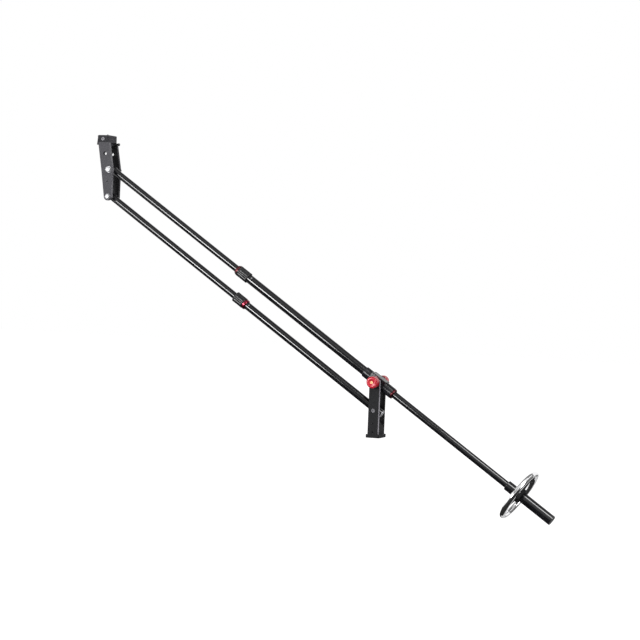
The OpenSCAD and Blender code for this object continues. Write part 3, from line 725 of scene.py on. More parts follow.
@dataclass(frozen=True)
class Rounded:
    """A CAD node that keeps its shape and gets rounded edges.

    The bevel is the rounded edges' width and segments the number of faces across one. The
    strip is a lighter finish painted on the faces that look towards the tail, as painted
    light, and the inside is a darker finish painted on the faces that look towards the arm's
    middle plane, as painted shade, where they differ. The edges take the finish that goes with
    the main one.
    """

    name: str
    node: str
    slot: str
    finish: str
    bevel: float
    segments: int = 3
    # Finish painted lighter on faces towards the tail (painted light), and finish painted darker on
    # faces towards the middle (painted shade)
    strip: str = ""
    inside: str = ""

    def build(self, palette: Palette) -> None:
        """Copies the node, merges its loose triangles and rounds its edges."""
        source = bpy.data.objects[self.node]
        mesh = self._merged(source.data)
        edge = FINISHES[self.finish].edge
        for finish in (self.finish, edge, self.strip, self.inside):
            mesh.materials.append(palette[finish or self.finish])
        self._mark_sides(mesh)
        smoothed(mesh, SHARP_DEGREES)
        piece = show(self.name, mesh, source["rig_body"], self.slot, self.node)
        rounding = piece.modifiers.new("Rounding", "BEVEL")
        rounding.width = self.bevel
        rounding.segments = self.segments
        rounding.limit_method = "ANGLE"
        rounding.angle_limit = math.radians(ROUNDED_DEGREES)
        rounding.use_clamp_overlap = True
        rounding.material = EDGE
        rounding.harden_normals = False
        flatness = piece.modifiers.new("Flatness", "WEIGHTED_NORMAL")
        flatness.keep_sharp = False
        flatness.weight = 60

    def _merged(self, source: Mesh) -> Mesh:
        """A copy whose flat faces are one face each."""
        mesh = bpy.data.meshes.new(self.name)
        work = bmesh.new()
        work.from_mesh(source)
        bmesh.ops.remove_doubles(work, verts=work.verts, dist=2e-6)
        flat = math.radians(0.6)
        bmesh.ops.dissolve_limit(work, angle_limit=flat, verts=work.verts, edges=work.edges)
        work.to_mesh(mesh)
        work.free()
        mesh.materials.clear()
        return mesh

    def _mark_sides(self, mesh: Mesh) -> None:
        """Gives the faces towards the tail a finish with painted light, and those towards the middle
        one with painted shade.
        """
        faces_it = 0.9
        normals = np.zeros(len(mesh.polygons) * 3, np.float32)
        mesh.polygons.foreach_get("normal", normals)
        side = np.sign(node_points(self.node)[:, 1].mean())
        # Faces towards the tail take the painted light, faces towards the middle the painted shade
        to_tail, to_middle = normals[::3] < -faces_it, side * normals[1::3] < -faces_it
        slots = np.where(to_tail, PAINTED_LIGHT, np.where(to_middle, PAINTED_SHADE, 0))
        mesh.polygons.foreach_set("material_index", slots.astype(np.int32))


def paint_node(node: str, finish: Material) -> None:
    """Gives a CAD node that keeps its own mesh a material."""
    materials = bpy.data.objects[node].data.materials
    materials.clear()
    materials.append(finish)
    log.info("%s: painted", node)


# Sub-assemblies


@dataclass
class Axes:
    """The arm's axes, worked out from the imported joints."""

    boom: Axis
    rod: Axis
    tilt: Axis
    head_pivot: Axis
    head_link: Axis

    @classmethod
    def from_frame(cls, frame: dict) -> "Axes":
        """Reads the pivots and the tubes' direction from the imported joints."""
        upper = hinge_axis(frame, "boom_tilt")
        lower = hinge_axis(frame, "rod_tilt")
        head = hinge_axis(frame, "head_level")
        along = tuple(h - u for h, u in zip(head, upper))
        link = (head[0], head[1], head[2] - (upper[2] - lower[2]))
        left, up = (0.0, 1.0, 0.0), (0.0, 0.0, 1.0)
        return cls(
            boom=Axis(upper, along, left),
            rod=Axis(lower, along, left),
            tilt=Axis(upper, left, up),
            head_pivot=Axis(head, left, up),
            head_link=Axis(link, left, up),
        )


@dataclass
class Assembly:
    """A sub-assembly: turned pieces, nodes with rounded edges, and nodes that are only painted."""

    axes: Axes
    palette: Palette
    rounded: ClassVar[tuple[Rounded, ...]] = ()
    painted: ClassVar[dict[str, str]] = {}

    def turn(self) -> None:
        """Makes the turned pieces, where there are any."""

    def build(self) -> None:
        """Makes every piece."""
        self.turn()
        for piece in self.rounded:
            piece.build(self.palette)
        for node, finish in self.painted.items():
            paint_node(node, self.palette[finish])


@dataclass
class Tubes(Assembly):
    """The five tubes, the weight bar, their plugs and the tail's cap."""

    mouth_soft: float = 0.5 * MM
    wall: float = 1.5 * MM
    rear_wall: float = 2.0 * MM
    bar_bore: float = 12.6 * MM
    bar_bevel: float = 1.5 * MM
    cap_spigot: float = 10.4 * MM
    cap_flange: float = 3.0 * MM
    cap_bevel: float = 1.2 * MM
    cap_dish: float = 0.5 * MM
    painted = {
        "boom_collet": "nylon",
        "upper_guide_ring": "nylon",
        "upper_head_plug": "steel_cast",
        "lower_head_plug": "steel_cast",
        "rear_reducer": "plate_black",
    }

    def turn(self) -> None:
        """Makes the tubes, the bar, its cap and the rod's plug."""
        boom, rod = self.axes.boom, self.axes.rod
        self.tube("main_boom_tube", "boom_tube", boom, self.wall, "boom")
        self.tube("tail_tube", "rear_tube", boom, self.rear_wall, "boom")
        self.tube("lower_rod_tube", "lower_rod", rod, self.wall, "lower_arm")
        self.tube("upper_drawn_tube", "upper_stage", boom, self.wall, "upper_draw")
        self.tube("lower_drawn_tube", "lower_stage", rod, self.wall, "lower_draw")
        self.weight_bar()
        self.tail_cap()
        self.rod_plug()

    def tube(self, name: str, node: str, axis: Axis, wall: float, body: str) -> None:
        """A plain tube with rounded mouths and its bore."""
        piece = Turned(name, node, axis, "tube_black", body, "black_tube")
        start, end, r = piece.reach
        ring = ring_profile(start, end, r, r - wall, self.mouth_soft)
        piece.write(lathe(ring, 128, closed=True), self.palette)

    def weight_bar(self) -> None:
        """The thick bar, with a wide bevel at its front end and a fine one at its rear."""
        piece = Turned(
            "counterweight_bar", "weight_bar", self.axes.boom, "tube_black", "boom", "black_tube"
        )
        start, end, r = piece.reach
        corners = [
            (start, r), (end - self.bar_bevel, r), (end, r - self.bar_bevel),
            (end, self.bar_bore), (start, self.bar_bore),
        ]
        piece.write(lathe(closed_loop(corners, self.mouth_soft), 128, closed=True), self.palette)

    def tail_cap(self) -> None:
        """The cap that closes the bar, dished a little."""
        piece = Turned(
            "bar_end_cap", "tail_cap", self.axes.boom, "plastic_black", "boom", "black_plastic"
        )
        start, end, r = piece.reach
        low, flange, spigot = start + self.cap_dish, start + self.cap_flange, self.cap_spigot
        corners = [
            (low, 0.4 * r), (low, 0.72 * r), (start, 0.80 * r), (start, r - self.cap_bevel),
            (start + self.cap_bevel, r), (flange, r), (flange, spigot), (end, spigot),
            (end, 0.4 * spigot),
        ]
        piece.write(lathe(softened(corners, 0.4 * MM)), self.palette)

    def rod_plug(self) -> None:
        """The plug of the lower rod, whose bright rim shows between the post plates."""
        piece = Turned(
            "rod_end_plug", "lower_rod_plug", self.axes.rod, "steel", "lower_arm", "bright_steel"
        )
        tube = self.axes.rod.extent("lower_rod")
        start, end, _ = piece.reach
        r, neck = tube.radius, tube.radius - self.wall - LOOSE_GAP
        corners = [
            (start, 0.25 * r), (start, r), (tube.start, r), (tube.start, neck), (end, neck),
            (end, 0.25 * neck),
        ]
        piece.write(lathe(softened(corners, 0.3 * MM)), self.palette)


@dataclass
class Rivets(Assembly):
    """Domed rivets that stand out of the two outer tubes beside their locks."""

    dome: float = 1.0 * MM
    radius: float = 2.5 * MM
    recess: float = 0.4 * MM
    angle: float = math.radians(38.0)

    def pair(self, name: str, node: str, axis: Axis, tube: str, body: str) -> None:
        """Two rivets on opposite sides of a tube, with a shallow recess in each dome."""
        piece = Turned(name, node, axis, "steel_cast", body, "bright_steel")
        start, end, _ = piece.reach
        skin, r = axis.extent(tube).radius, self.radius
        top = skin + self.dome
        corners = [
            (skin - 1.2 * MM, 0.3 * r), (skin - 1.2 * MM, r), (skin + 0.2 * MM, r),
            (top - 0.25 * MM, 0.82 * r), (top, 0.5 * r), (top, 0.3 * r),
            (top - self.recess, 0.22 * r), (top - self.recess, 0.05 * r),
        ]
        pin = lathe(softened(corners, 0.2 * MM, 3), 32)
        c, s = math.cos(self.angle), math.sin(self.angle)
        near = pin.turned(np.array([[0.0, c, s], [1.0, 0.0, 0.0], [0.0, s, -c]]))
        far = near.turned(np.diag([1.0, -1.0, -1.0]))
        piece.write(near.joined(far).moved(0.5 * (start + end)), self.palette)

    def turn(self) -> None:
        """Makes both pairs."""
        self.pair("boom_tube_rivets", "boom_rivets", self.axes.boom, "boom_tube", "boom")
        self.pair("rod_tube_rivets", "lower_rod_rivets", self.axes.rod, "lower_rod", "lower_arm")


@dataclass
class TwistLocks(Assembly):
    """The two twist locks: nut, grooved rubber grip and coloured ring."""

    grooves: int = 12
    groove_depth: float = 1.4 * MM
    groove_power: float = 1.6
    end_plain: float = 5.0 * MM
    grip_rows: int = 44
    shoulder: float = 1.6 * MM
    stage_clear: float = 0.3 * MM
    ring_drop: float = 2.4 * MM
    ring_step: float = 3.0 * MM
    collar_lap: float = 6.0 * MM
    collar_rise: float = 1.5 * MM
    collar_drop: float = 1.9 * MM
    painted = {"upper_lock_nut": "plate_black", "lower_lock_nut": "plate_black"}

    def grip(self, name: str, axis: Axis, lock: str, trim: float = 0.0) -> None:
        """A rubber grip with rounded ribs between its grooves.

        The radius is the outer radius less the groove depth times ((1 - cos(N a)) / 2) to a power,
        where N is the number of grooves, so a rib faces straight to each side. The depth falls to 0
        before the grip's ends.

        Args:
            name: The piece's name.
            axis: The tube's axis.
            lock: The lock, whose name is its body's and starts its nodes' names.
            trim: How much of its front end a collar takes up, in metres.
        """
        piece = Turned(name, f"{lock}_grip", axis, "grip_rubber", lock, "black_rubber", 50.0)
        start, end, radius = piece.reach
        end -= trim
        bore = self._nut_radius(axis, lock)
        along = np.linspace(start, end, self.grip_rows)
        from_end = np.minimum(along - start, end - along)
        rounding = np.clip(1.0 - from_end / self.shoulder, 0.0, 1.0) ** 2
        outer = np.stack([along, radius - self.shoulder * rounding], -1)
        profile = np.concatenate([[(start, bore)], outer, [(end, bore)]])

        def ribs(x: Array, r: Array, a: Array) -> Array:
            share = (0.5 * (1.0 - np.cos(self.grooves * a))) ** self.groove_power
            inside = np.minimum(x - start, end - x) - 0.6 * self.end_plain
            fade = np.clip(inside / (0.4 * self.end_plain), 0.0, 1.0)
            fade = fade * fade * (3.0 - 2.0 * fade)
            return np.where(r > bore + 0.1 * MM, r - self.groove_depth * share * fade, r)

        piece.write(lathe(profile, self.grooves * 24, ribs, closed=True), self.palette)

    def ring(self, piece: Turned, bore: float) -> None:
        """A coloured ring whose edge towards the tail is well rounded."""
        start, end, r = piece.reach
        step = min(self.ring_step, 0.6 * (end - start))
        corners = [
            (start, r - self.ring_drop), (start + step, r), (end, r), (end, bore), (start, bore),
        ]
        piece.write(lathe(closed_loop(corners, 0.9 * MM), closed=True), self.palette)

    def collar(self, piece: Turned, bore: float) -> None:
        """The cone-shaped red collar in front of the upper grip, which laps over its nut."""
        start, end, r = piece.reach
        seat = self._nut_radius(piece.axis, piece.body)
        wide, back, face = seat + self.collar_rise, start - self.collar_lap, start + FIXED_GAP
        corners = [
            (back, wide), (start - 0.5 * self.collar_lap, wide), (end, r - self.collar_drop),
            (end, bore), (face, bore), (face, seat), (back, seat),
        ]
        piece.write(lathe(closed_loop(corners, 0.8 * MM), closed=True), self.palette)

    @staticmethod
    def _nut_radius(axis: Axis, lock: str) -> float:
        """Inner radius of what sits on a lock's nut."""
        return axis.extent(f"{lock}_nut").radius + FIXED_GAP

    def turn(self) -> None:
        """Makes both locks and the ring behind the sleeve."""
        boom, rod = self.axes.boom, self.axes.rod
        self.grip("upper_grip_ribbed", boom, "upper_lock", self.collar_lap - 0.8 * MM)
        self.grip("lower_grip_ribbed", rod, "lower_lock")
        for name, node, axis, finish, body, inner, gap, make in (
            ("upper_front_ring", "upper_lock_ring", boom, "ring_dark_red", "upper_lock",
             "upper_stage", self.stage_clear, self.collar),
            ("lower_rear_ring", "lower_lock_ring", rod, "ring_red", "lower_lock",
             "lower_rod", LOOSE_GAP, self.ring),
            ("sleeve_end_ring", "sleeve_ring", boom, "ring_dark_red", "boom",
             "rear_tube", FIXED_GAP, self.ring),
        ):
            piece = Turned(name, node, axis, finish, body, "red_metal")
            make(piece, axis.extent(inner).radius + gap)


@dataclass
class TiltKnobs(Assembly):
    """The two red tilt knobs with brass inserts, their studs and washers."""

    insert_face: float = 8.0 * MM
    insert_end: float = 1.2 * MM
    insert_soft: float = 0.4 * MM
    stud_pitch: float = 1.75 * MM
    thread_length: float = 18.0 * MM

    def knob(self, piece: Turned) -> None:
        """A smooth turned knob with a domed rim and a dished middle."""
        back, front, r = piece.reach
        hole, mouth = (v + FIXED_GAP for v in self._insert_radii())
        step = front - self.insert_face + FIXED_GAP
        corners = [
            (back, hole), (back, r - 3.0 * MM), (back + 1.2 * MM, r - 1.0 * MM),
            (back + 3.5 * MM, r), (front - 9.0 * MM, r), (front - 5.0 * MM, r - 0.25 * MM),
            (front - 2.2 * MM, r - 1.6 * MM), (front - 0.5 * MM, r - 4.4 * MM),
            (front, r - 6.6 * MM), (front - 0.5 * MM, r - 8.6 * MM),
            (front - 2.0 * MM, mouth + 1.0 * MM), (front - 2.4 * MM, mouth), (step, mouth),
            (step, hole), (back, hole),
        ]
        surface = lathe(softened(corners, 1.4 * MM, 5)[:-1], 160, closed=True)
        piece.write(surface, self.palette)

    def insert(self, piece: Turned) -> None:
        """The brass insert, open at the back for the stud, its bevelled end in the knob's face."""
        start, end, _ = piece.reach
        outer, face = self._insert_radii()
        bore, soft = self._stud_radius() + LOOSE_GAP, self.insert_soft
        step = end + self.insert_end - self.insert_face
        profile = np.array([
            (step, 0.4 * bore), (step, bore), (start, bore), (start, outer - soft),
            (start + soft, outer), (step, outer), (step, face), (end - soft, face),
            (end, face - soft), (end, 0.4 * face),
        ])
        piece.write(lathe(profile), self.palette)

    def studs(self, piece: Turned) -> None:
        """The two studs, with a thread on the free length inside each knob."""
        end, radius = piece.reach.end, self._stud_radius()
        inner, thread_from = piece.axis.nearest(piece.node), end - self.thread_length
        cut = thread_rows(thread_from, end - 1.0 * MM, self.thread_length, radius, self.stud_pitch)
        root = [(inner, 0.3 * radius), (inner, radius)]
        tip = [(end, radius - 1.0 * MM), (end, 0.3 * radius)]
        wave = threaded(self.stud_pitch, 0.5 * self.stud_pitch)

        def change(x: Array, r: Array, a: Array) -> Array:
            fade = np.clip((x - thread_from) / self.stud_pitch, 0.0, 1.0)
            return np.where(r > 0.9 * radius, r + (wave(x, r, a) - r) * fade, r)

        stud = lathe(np.concatenate([root, cut, tip]), 48, change)
        piece.write(stud.joined(stud.reversed()), self.palette)

    def rings(self, piece: Turned) -> None:
        """A pair of flat rings on the studs, one on each side of the arm."""
        _, end, radius = piece.reach
        bore, inner = self._stud_radius() + FIXED_GAP, piece.axis.nearest(piece.node)
        near = lathe(ring_profile(inner, end, radius, bore, 0.35 * MM), closed=True)
        piece.write(near.joined(near.reversed()), self.palette)

    def _stud_radius(self) -> float:
        """Radius of the studs."""
        return self.axes.tilt.extent("tilt_studs").radius

    def _insert_radii(self) -> tuple[float, float]:
        """Radius of the insert and of its end in the knob's face."""
        axis = self.axes.tilt
        reach = axis.extent("knob_insert_left")
        points = axis.local(node_points("knob_insert_left"))
        end = points[points[:, 0] > reach.end - 0.5 * self.insert_face]
        return reach.radius, float(np.hypot(end[:, 1], end[:, 2]).max())

    def turn(self) -> None:
        """Makes both knobs and what is between them and the boom."""
        tilt = self.axes.tilt
        left, right = (Axis(tilt.origin, (0.0, out, 0.0), tilt.side) for out in (1.0, -1.0))
        for knob, insert, side, axis in (
            ("left_tilt_knob", "left_brass_insert", "left", left),
            ("right_tilt_knob", "right_brass_insert", "right", right),
        ):
            body = f"{side}_knob"
            self.knob(Turned(knob, f"knob_{side}", axis, "knob_red", body, "red_plastic", 60.0))
            self.insert(Turned(insert, f"knob_insert_{side}", axis, "brass", body, "brass"))
        for name, node, finish, slot, make in (
            ("threaded_tilt_studs", "tilt_studs", "steel_cast", "bright_steel", self.studs),
            ("red_friction_washers", "friction_washers", "ring_dark_red", "red_plastic",
             self.rings),
            ("knob_thrust_washers", "knob_washers", "steel", "bright_steel", self.rings),
        ):
            make(Turned(name, node, tilt, finish, "boom", slot))


@dataclass
class HandWheel(Assembly):
    """The chrome handwheel: rim, hub with spokes and set screw."""

    rim_segments: int = 192
    tube_segments: int = 48
    rounded = (
        Rounded("wheel_hub_spoked", "wheel_hub", "black_anodised", "plate_black", 0.8 * MM),
        Rounded("hub_set_screw", "wheel_set_screw", "bright_steel", "steel_cast", 0.25 * MM, 2),
    )

    def turn(self) -> None:
        """Makes the rim: a circle of radius t carried round the axis at radius R.

        The point at angles a round the axis and b round the tube is
        (-t cos b, (R + t sin b) cos a, (R + t sin b) sin a), from the rim's middle.
        """
        piece = Turned(
            "chrome_wheel_rim", "wheel_rim", self.axes.boom, "chrome", "boom", "chrome_rim", 80.0
        )
        start, end, outer = piece.reach
        tube = 0.5 * (end - start)
        b = np.arange(self.tube_segments) * TAU / self.tube_segments
        middle, ring = 0.5 * (start + end), outer - tube
        profile = np.stack([middle - tube * np.cos(b), ring + tube * np.sin(b)], -1)
        piece.write(lathe(profile, self.rim_segments, closed=True), self.palette)


@dataclass
class Post(Assembly):
    """The post: foot, two plates, their screws, bushes and the lower pivot."""

    rounded = (
        Rounded("foot_milled", "foot_block", "black_anodised", "plate_black", 0.5 * MM),
        # Its faces towards the tail take a lighter grey: painted light
        Rounded(
            "left_post_plate", "post_plate_left", "black_anodised", "plate_black", 0.5 * MM,
            strip="plate_strip",
        ),
        Rounded("right_post_plate", "post_plate_right", "black_anodised", "plate_black", 0.5 * MM),
        Rounded("post_cap_screws", "post_screws", "bright_steel", "plate_black", 0.3 * MM, 2),
        Rounded("pivot_bolt_low", "lower_pivot_bolt", "bright_steel", "steel_dull", 0.4 * MM),
        Rounded("pivot_nut_low", "lower_pivot_nut", "bright_steel", "steel_cast", 0.4 * MM),
        Rounded("rod_spacers", "lower_pivot_spacers", "bright_steel", "steel_cast", 0.3 * MM, 2),
    )
    painted = {"tilt_bushes": "brass"}


@dataclass
class Sleeve(Assembly):
    """The sleeve with its pivot block."""

    rounded = (
        Rounded("boom_sleeve_block", "boom_sleeve", "black_anodised", "sleeve_black", 0.7 * MM),
    )


@dataclass
class Head(Assembly):
    """The head's two plates, its spacers, and its cross bolts with their nuts."""

    washer: float = 2.5 * MM
    soft: float = 0.35 * MM
    rounded = (
        # Faces towards the tail take a lighter grey (painted light), faces towards the middle take
        # black (painted shade)
        Rounded(
            "left_head_plate", "head_plate_left", "grey_anodised", "head_grey", 0.6 * MM,
            strip="head_strip", inside="plate_black",
        ),
        # Faces towards the middle take black: painted shade
        Rounded(
            "right_head_plate", "head_plate_right", "grey_anodised", "head_grey", 0.6 * MM,
            inside="plate_black",
        ),
        Rounded("head_spacer_set", "head_spacers", "bright_steel", "steel_cast", 0.3 * MM, 2),
    )

    def bolt(self, piece: Turned, nut: Turned, radius: float, pitch: float) -> None:
        """A hexagon bolt with its washer, and the thread that stands out of its nut.

        Args:
            piece: The bolt, on an axis that runs towards its head.
            nut: Its nut.
            radius: Radius of the shank.
            pitch: Pitch of the thread.
        """
        plate = float(node_points("head_plate_left")[:, 1].max())
        (start, end, _), flats, seat = piece.reach, 3.2 * radius, plate + self.washer
        thread_end = nut.reach.end
        rows = hexagon_rows(seat, end, flats, 0.5, self.soft)
        hexagon = lathe(np.array([*rows, (end, 0.2 * flats)]), 96, hexagonal(flats, end))
        disc = lathe(bar_profile(plate, seat, 2.0 * radius, self.soft))
        plain = lathe(bar_profile(thread_end, plate + self.soft, radius, self.soft), 64)
        cut = thread_rows(start + 1.0 * MM, thread_end, thread_end - start, radius, pitch)
        tip = [(start, 0.5 * radius), (start, 0.8 * radius)]
        thread = lathe(np.concatenate([tip, cut]), 64, threaded(pitch, 0.6 * pitch))
        piece.write(hexagon.joined(disc, plain, thread), self.palette)

    def nut(self, piece: Turned, radius: float) -> None:
        """A hexagon nut with its washer, on an axis that runs away from its free face.

        Args:
            piece: The nut.
            radius: Radius of the bolt's shank.
        """
        (start, end, _), flats, bore = piece.reach, 3.2 * radius, radius + FIXED_GAP
        seat, top, bevel = end - self.washer, -start, 0.6 * MM
        rows = hexagon_rows(-seat, top, flats, 0.46, self.soft)
        profile = np.array([*rows, (top, bore + bevel), (top - bevel, bore), (-seat, bore)])
        hexagon = lathe(profile, 96, hexagonal(flats, top), closed=True).reversed()
        disc = lathe(ring_profile(seat, end, 2.0 * radius, bore, self.soft), closed=True)
        piece.write(hexagon.joined(disc), self.palette)

    def turn(self) -> None:
        """Makes the upper and the lower bolt, each with its nut."""
        for place, node, axis, radius, pitch in (
            ("upper", "head_pivot", self.axes.head_pivot, 6.0 * MM, 1.75 * MM),
            ("lower", "head_link", self.axes.head_link, 5.0 * MM, 1.5 * MM),
        ):
            rest = (axis, "steel_cast", "head", "bright_steel")
            bolt = Turned(f"{place}_head_bolt", f"{node}_bolt", *rest)
            nut = Turned(f"{place}_head_nut", f"{node}_nut", *rest)
            self.bolt(bolt, nut, radius, pitch)
            self.nut(nut, radius)


@dataclass
class Platform(Assembly):
    """The camera platform: slab, jaws, camera plate, pad and screws."""

    end_screw_r: float = 4.6 * MM
    end_screw_rise: float = 1.2 * MM
    end_screw_drop: float = 5.6 * MM
    socket_r: float = 1.9 * MM
    rounded = (
        # Faces towards the tail take the lighter head grey: painted light
        Rounded(
            "head_block_slab", "head_block", "black_anodised", "platform_black", 0.5 * MM,
            strip="head_grey",
        ),
        Rounded("front_clamp_jaw", "clamp_jaw", "black_anodised", "platform_black", 0.5 * MM),
        # Faces towards the tail take the lighter head grey: painted light
        Rounded(
            "sliding_camera_plate", "camera_plate", "black_anodised", "platform_black", 0.4 * MM,
            strip="head_grey",
        ),
        Rounded("slab_screws", "head_screws", "bright_steel", "steel_cast", 0.2 * MM, 2),
        Rounded("plate_stop_screw", "plate_stop", "bright_steel", "steel_dull", 0.4 * MM),
        Rounded("clamp_screw_knob", "clamp_screw", "black_plastic", "plastic_black", 0.4 * MM),
        Rounded("quarter_inch_screw", "camera_screw", "bright_steel", "steel_cast", 0.3 * MM, 2),
        Rounded("rubber_pad", "plate_pad", "black_rubber", "pad_rubber", 0.3 * MM, 2),
    )

    def turn(self) -> None:
        """Makes the low button screw in the middle of the slab's rear face, with its socket."""
        low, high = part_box("head_block")
        place = (low[0], 0.5 * (low[1] + high[1]), high[2] - self.end_screw_drop)
        axis = Axis(place, (-1.0, 0.0, 0.0), (0.0, 1.0, 0.0))
        r, rise, socket = self.end_screw_r, self.end_screw_rise, self.socket_r
        corners = [
            (LOOSE_GAP, 0.3 * r), (LOOSE_GAP, r), (0.5 * rise, 0.96 * r), (rise, 0.7 * r),
            (rise, socket), (0.3 * rise, 0.9 * socket), (0.3 * rise, 0.2 * socket),
        ]
        piece = Turned("slab_end_screw", "", axis, "steel_dull", "head", "bright_steel")
        piece.write(lathe(softened(corners, 0.3 * MM), 64), self.palette)


# Studio


def stand(thing: Object, place: Point, right: Vector, up: Vector, back: Vector) -> None:
    """Puts a camera or a lamp into the scene, turned to the three given directions."""
    turn = Matrix((right, up, back)).transposed()
    thing.matrix_world = Matrix.Translation(place) @ turn.to_4x4()
    bpy.context.scene.collection.objects.link(thing)


@dataclass(frozen=True)
class Viewpoint:
    """The camera: where it stands, how it looks and how long its lens is."""

    eye: Point = (-2.2999, 6.5206, 0.5889)
    yaw: float = 21.186
    pitch: float = 1.527
    roll: float = 2.3
    focal_pixels: float = 1968.68
    image_pixels: float = 640.0
    sensor_mm: float = 36.0

    def build(self) -> None:
        """Makes the camera and sets it as the scene's camera."""
        yaw, pitch, roll = (math.radians(v) for v in (self.yaw, self.pitch, self.roll))
        view = Vector((
            math.sin(yaw) * math.cos(pitch), -math.cos(yaw) * math.cos(pitch), -math.sin(pitch),
        ))
        right = Vector((-math.cos(yaw), -math.sin(yaw), 0.0))
        up = right.cross(view)
        tilted_right = math.cos(roll) * right + math.sin(roll) * up
        tilted_up = -math.sin(roll) * right + math.cos(roll) * up
        lens = bpy.data.cameras.new("photo_camera")
        lens.sensor_width = self.sensor_mm
        lens.sensor_fit = "HORIZONTAL"
        lens.lens = self.focal_pixels / self.image_pixels * self.sensor_mm
        lens.clip_end = 100.0
        camera = bpy.data.objects.new("photo_camera", lens)
        stand(camera, self.eye, tilted_right, tilted_up, -view)
        bpy.context.scene.camera = camera


@dataclass(frozen=True)
class SoftBox:
    """An area lamp: its middle, the point that it looks at, its size and its radiance."""

    name: str
    place: Point
    target: Point
    width: float
    height: float
    radiance: float
    long_side: Point = (1.0, 0.0, 0.0)

    def build(self) -> None:
        """Makes the lamp, its width along long_side as far as its direction allows."""
        light = bpy.data.lights.new(self.name, "AREA")
        light.shape = "RECTANGLE"
        light.size = self.width
        light.size_y = self.height
        light.energy = self.radiance * math.pi * self.width * self.height
        shine = (Vector(self.target) - Vector(self.place)).normalized()
        across = Vector(self.long_side)
        across = (across - across.dot(shine) * shine).normalized()
        lamp = bpy.data.objects.new(self.name, light)
        lamp.visible_camera = False
        stand(lamp, self.place, across, (-shine).cross(across), -shine)


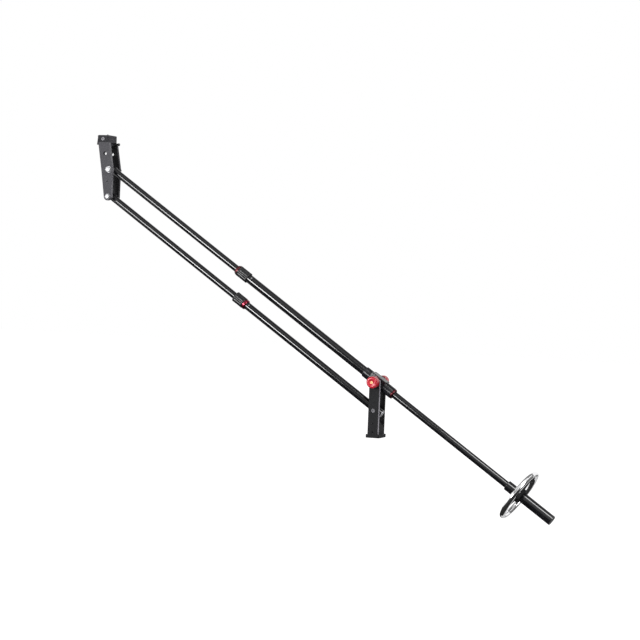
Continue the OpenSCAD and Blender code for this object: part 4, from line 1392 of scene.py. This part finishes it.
@dataclass(frozen=True)
class Studio:
    """Pale floor, even world light and soft boxes.

    Ambient is the world's level for diffuse rays and mirrored that for glossy rays. The glow that
    the camera sees on the floor grows between the two distances of fade, in metres from the
    frame's origin.
    """

    floor_height: float = -1.0
    floor_size: float = 60.0
    floor_grey: float = 0.86
    floor_mirrored: float = 0.015
    glow: tuple[float, float] = (0.12, 1.0)
    fade: tuple[float, float] = (1.4, 3.2)
    ambient: float = 0.16
    mirrored: float = 0.22
    boxes: tuple[SoftBox, ...] = (
        SoftBox("key_box", (2.66, 4.6, 1.03), (0.7, 0.0, 0.5), 2.4, 1.3, 21.0, (0.85, 0.0, 0.53)),
        SoftBox("key_core", (2.58, 4.55, 0.96), (0.7, 0.0, 0.5), 1.0, 1.2, 15.0, (0.85, 0.0, 0.53)),
        SoftBox("tail_box", (-2.3, 1.9, 3.2), (-0.5, 0.0, -0.1), 1.8, 1.2, 14.0),
        SoftBox("front_box", (-1.9, 4.4, 2.6), (-0.4, 0.0, 0.0), 2.4, 2.6, 0.8),
        SoftBox("front_wall", (0.5, 7.6, 0.9), (0.0, 0.0, 0.3), 8.0, 2.6, 0.45),
        SoftBox("ceiling_box", (0.0, 2.2, 3.6), (0.0, 2.2, 0.0), 8.0, 4.6, 0.48),
        SoftBox("tail_ceiling", (-4.1, 1.5, 3.55), (-4.1, 1.5, 0.0), 2.2, 8.0, 1.0),
        SoftBox("backdrop_glow", (0.0, -4.0, 1.0), (0.0, 0.0, 0.5), 9.0, 6.0, 0.8),
        SoftBox("rear_card", (-1.05, -1.75, -0.95), (-1.05, -1.75, 0.0), 2.3, 2.5, 0.6),
        SoftBox("side_card", (-4.1, 1.5, 0.35), (0.0, 0.0, 0.2), 1.5, 1.5, 5.0, (0.0, 0.0, 1.0)),
        SoftBox("front_card", (3.4, 0.2, 0.9), (-0.5, 0.0, -0.1), 5.0, 3.0, 1.0, (0.0, 1.0, 0.0)),
    )

    def world(self) -> None:
        """White to camera and transmission rays, with one level for glossy rays and one for others."""
        world = bpy.data.worlds.new("studio")
        bpy.context.scene.world = world
        world.use_nodes = True
        tree = world.node_tree
        path = tree.nodes.new("ShaderNodeLightPath").outputs
        rays = {0: path["Is Camera Ray"], 1: path["Is Transmission Ray"]}
        seen = add_node(tree, "ShaderNodeMath", "Value", rays, operation="MAXIMUM")
        rest = line(tree, path["Is Glossy Ray"], self.mirrored - self.ambient, self.ambient)
        strength = mixed(tree, seen, rest, 1.0, "FLOAT")
        feed(tree, tree.nodes["Background"], {"Color": grey(1.0), "Strength": strength})

    def floor(self) -> None:
        """A pale floor that takes shadows near the arm and fades to white further out."""
        half, z = 0.5 * self.floor_size, self.floor_height
        corners = [(-half, -half, z), (half, -half, z), (half, half, z), (-half, half, z)]
        mesh = bpy.data.meshes.new("floor")
        mesh.from_pydata(corners, [], [(0, 1, 2, 3)])
        mesh.materials.append(self.floor_material())
        plane = bpy.data.objects.new("floor", mesh)
        bpy.context.scene.collection.objects.link(plane)

    def floor_material(self) -> Material:
        """Pale, dark to glossy rays, and glowing to the camera by the distance from the origin."""
        material = bpy.data.materials.new("floor_white")
        material.use_nodes = True
        tree = material.node_tree
        path = tree.nodes.new("ShaderNodeLightPath").outputs
        pale, dark = grey(self.floor_grey), grey(self.floor_mirrored)
        place = add_node(tree, "ShaderNodeTexCoord", "Object")
        reach = add_node(tree, "ShaderNodeVectorMath", "Value", {0: place}, operation="LENGTH")
        glow = ramp(tree, reach, self.fade, self.glow)
        feed(tree, tree.nodes["Principled BSDF"], {
            "Base Color": mixed(tree, path["Is Glossy Ray"], pale, dark),
            "Roughness": 0.9,
            "Specular IOR Level": 0.1,
            "Emission Color": grey(1.0),
            "Emission Strength": product(tree, glow, path["Is Camera Ray"]),
        })
        return material

    def build(self) -> None:
        """Makes the world, the floor and the lamps."""
        self.world()
        self.floor()
        for box in self.boxes:
            box.build()
        bpy.context.scene.view_settings.view_transform = "Standard"


def main() -> None:
    """Loads the frame, dresses every piece and sets up the studio."""
    logging.basicConfig(level=logging.INFO, format="%(name)s: %(message)s")
    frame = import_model()
    Viewpoint().build()
    Studio().build()
    axes = Axes.from_frame(frame)
    effects = Effects()
    palette = {name: finish.build(effects) for name, finish in FINISHES.items()}
    for kind in (
        Post, Sleeve, Tubes, Rivets, TwistLocks, TiltKnobs, HandWheel, Head, Platform,
    ):
        log.info("building %s", kind.__name__)
        kind(axes, palette).build()
    bpy.context.view_layer.update()


if __name__ == "__main__":
    main()
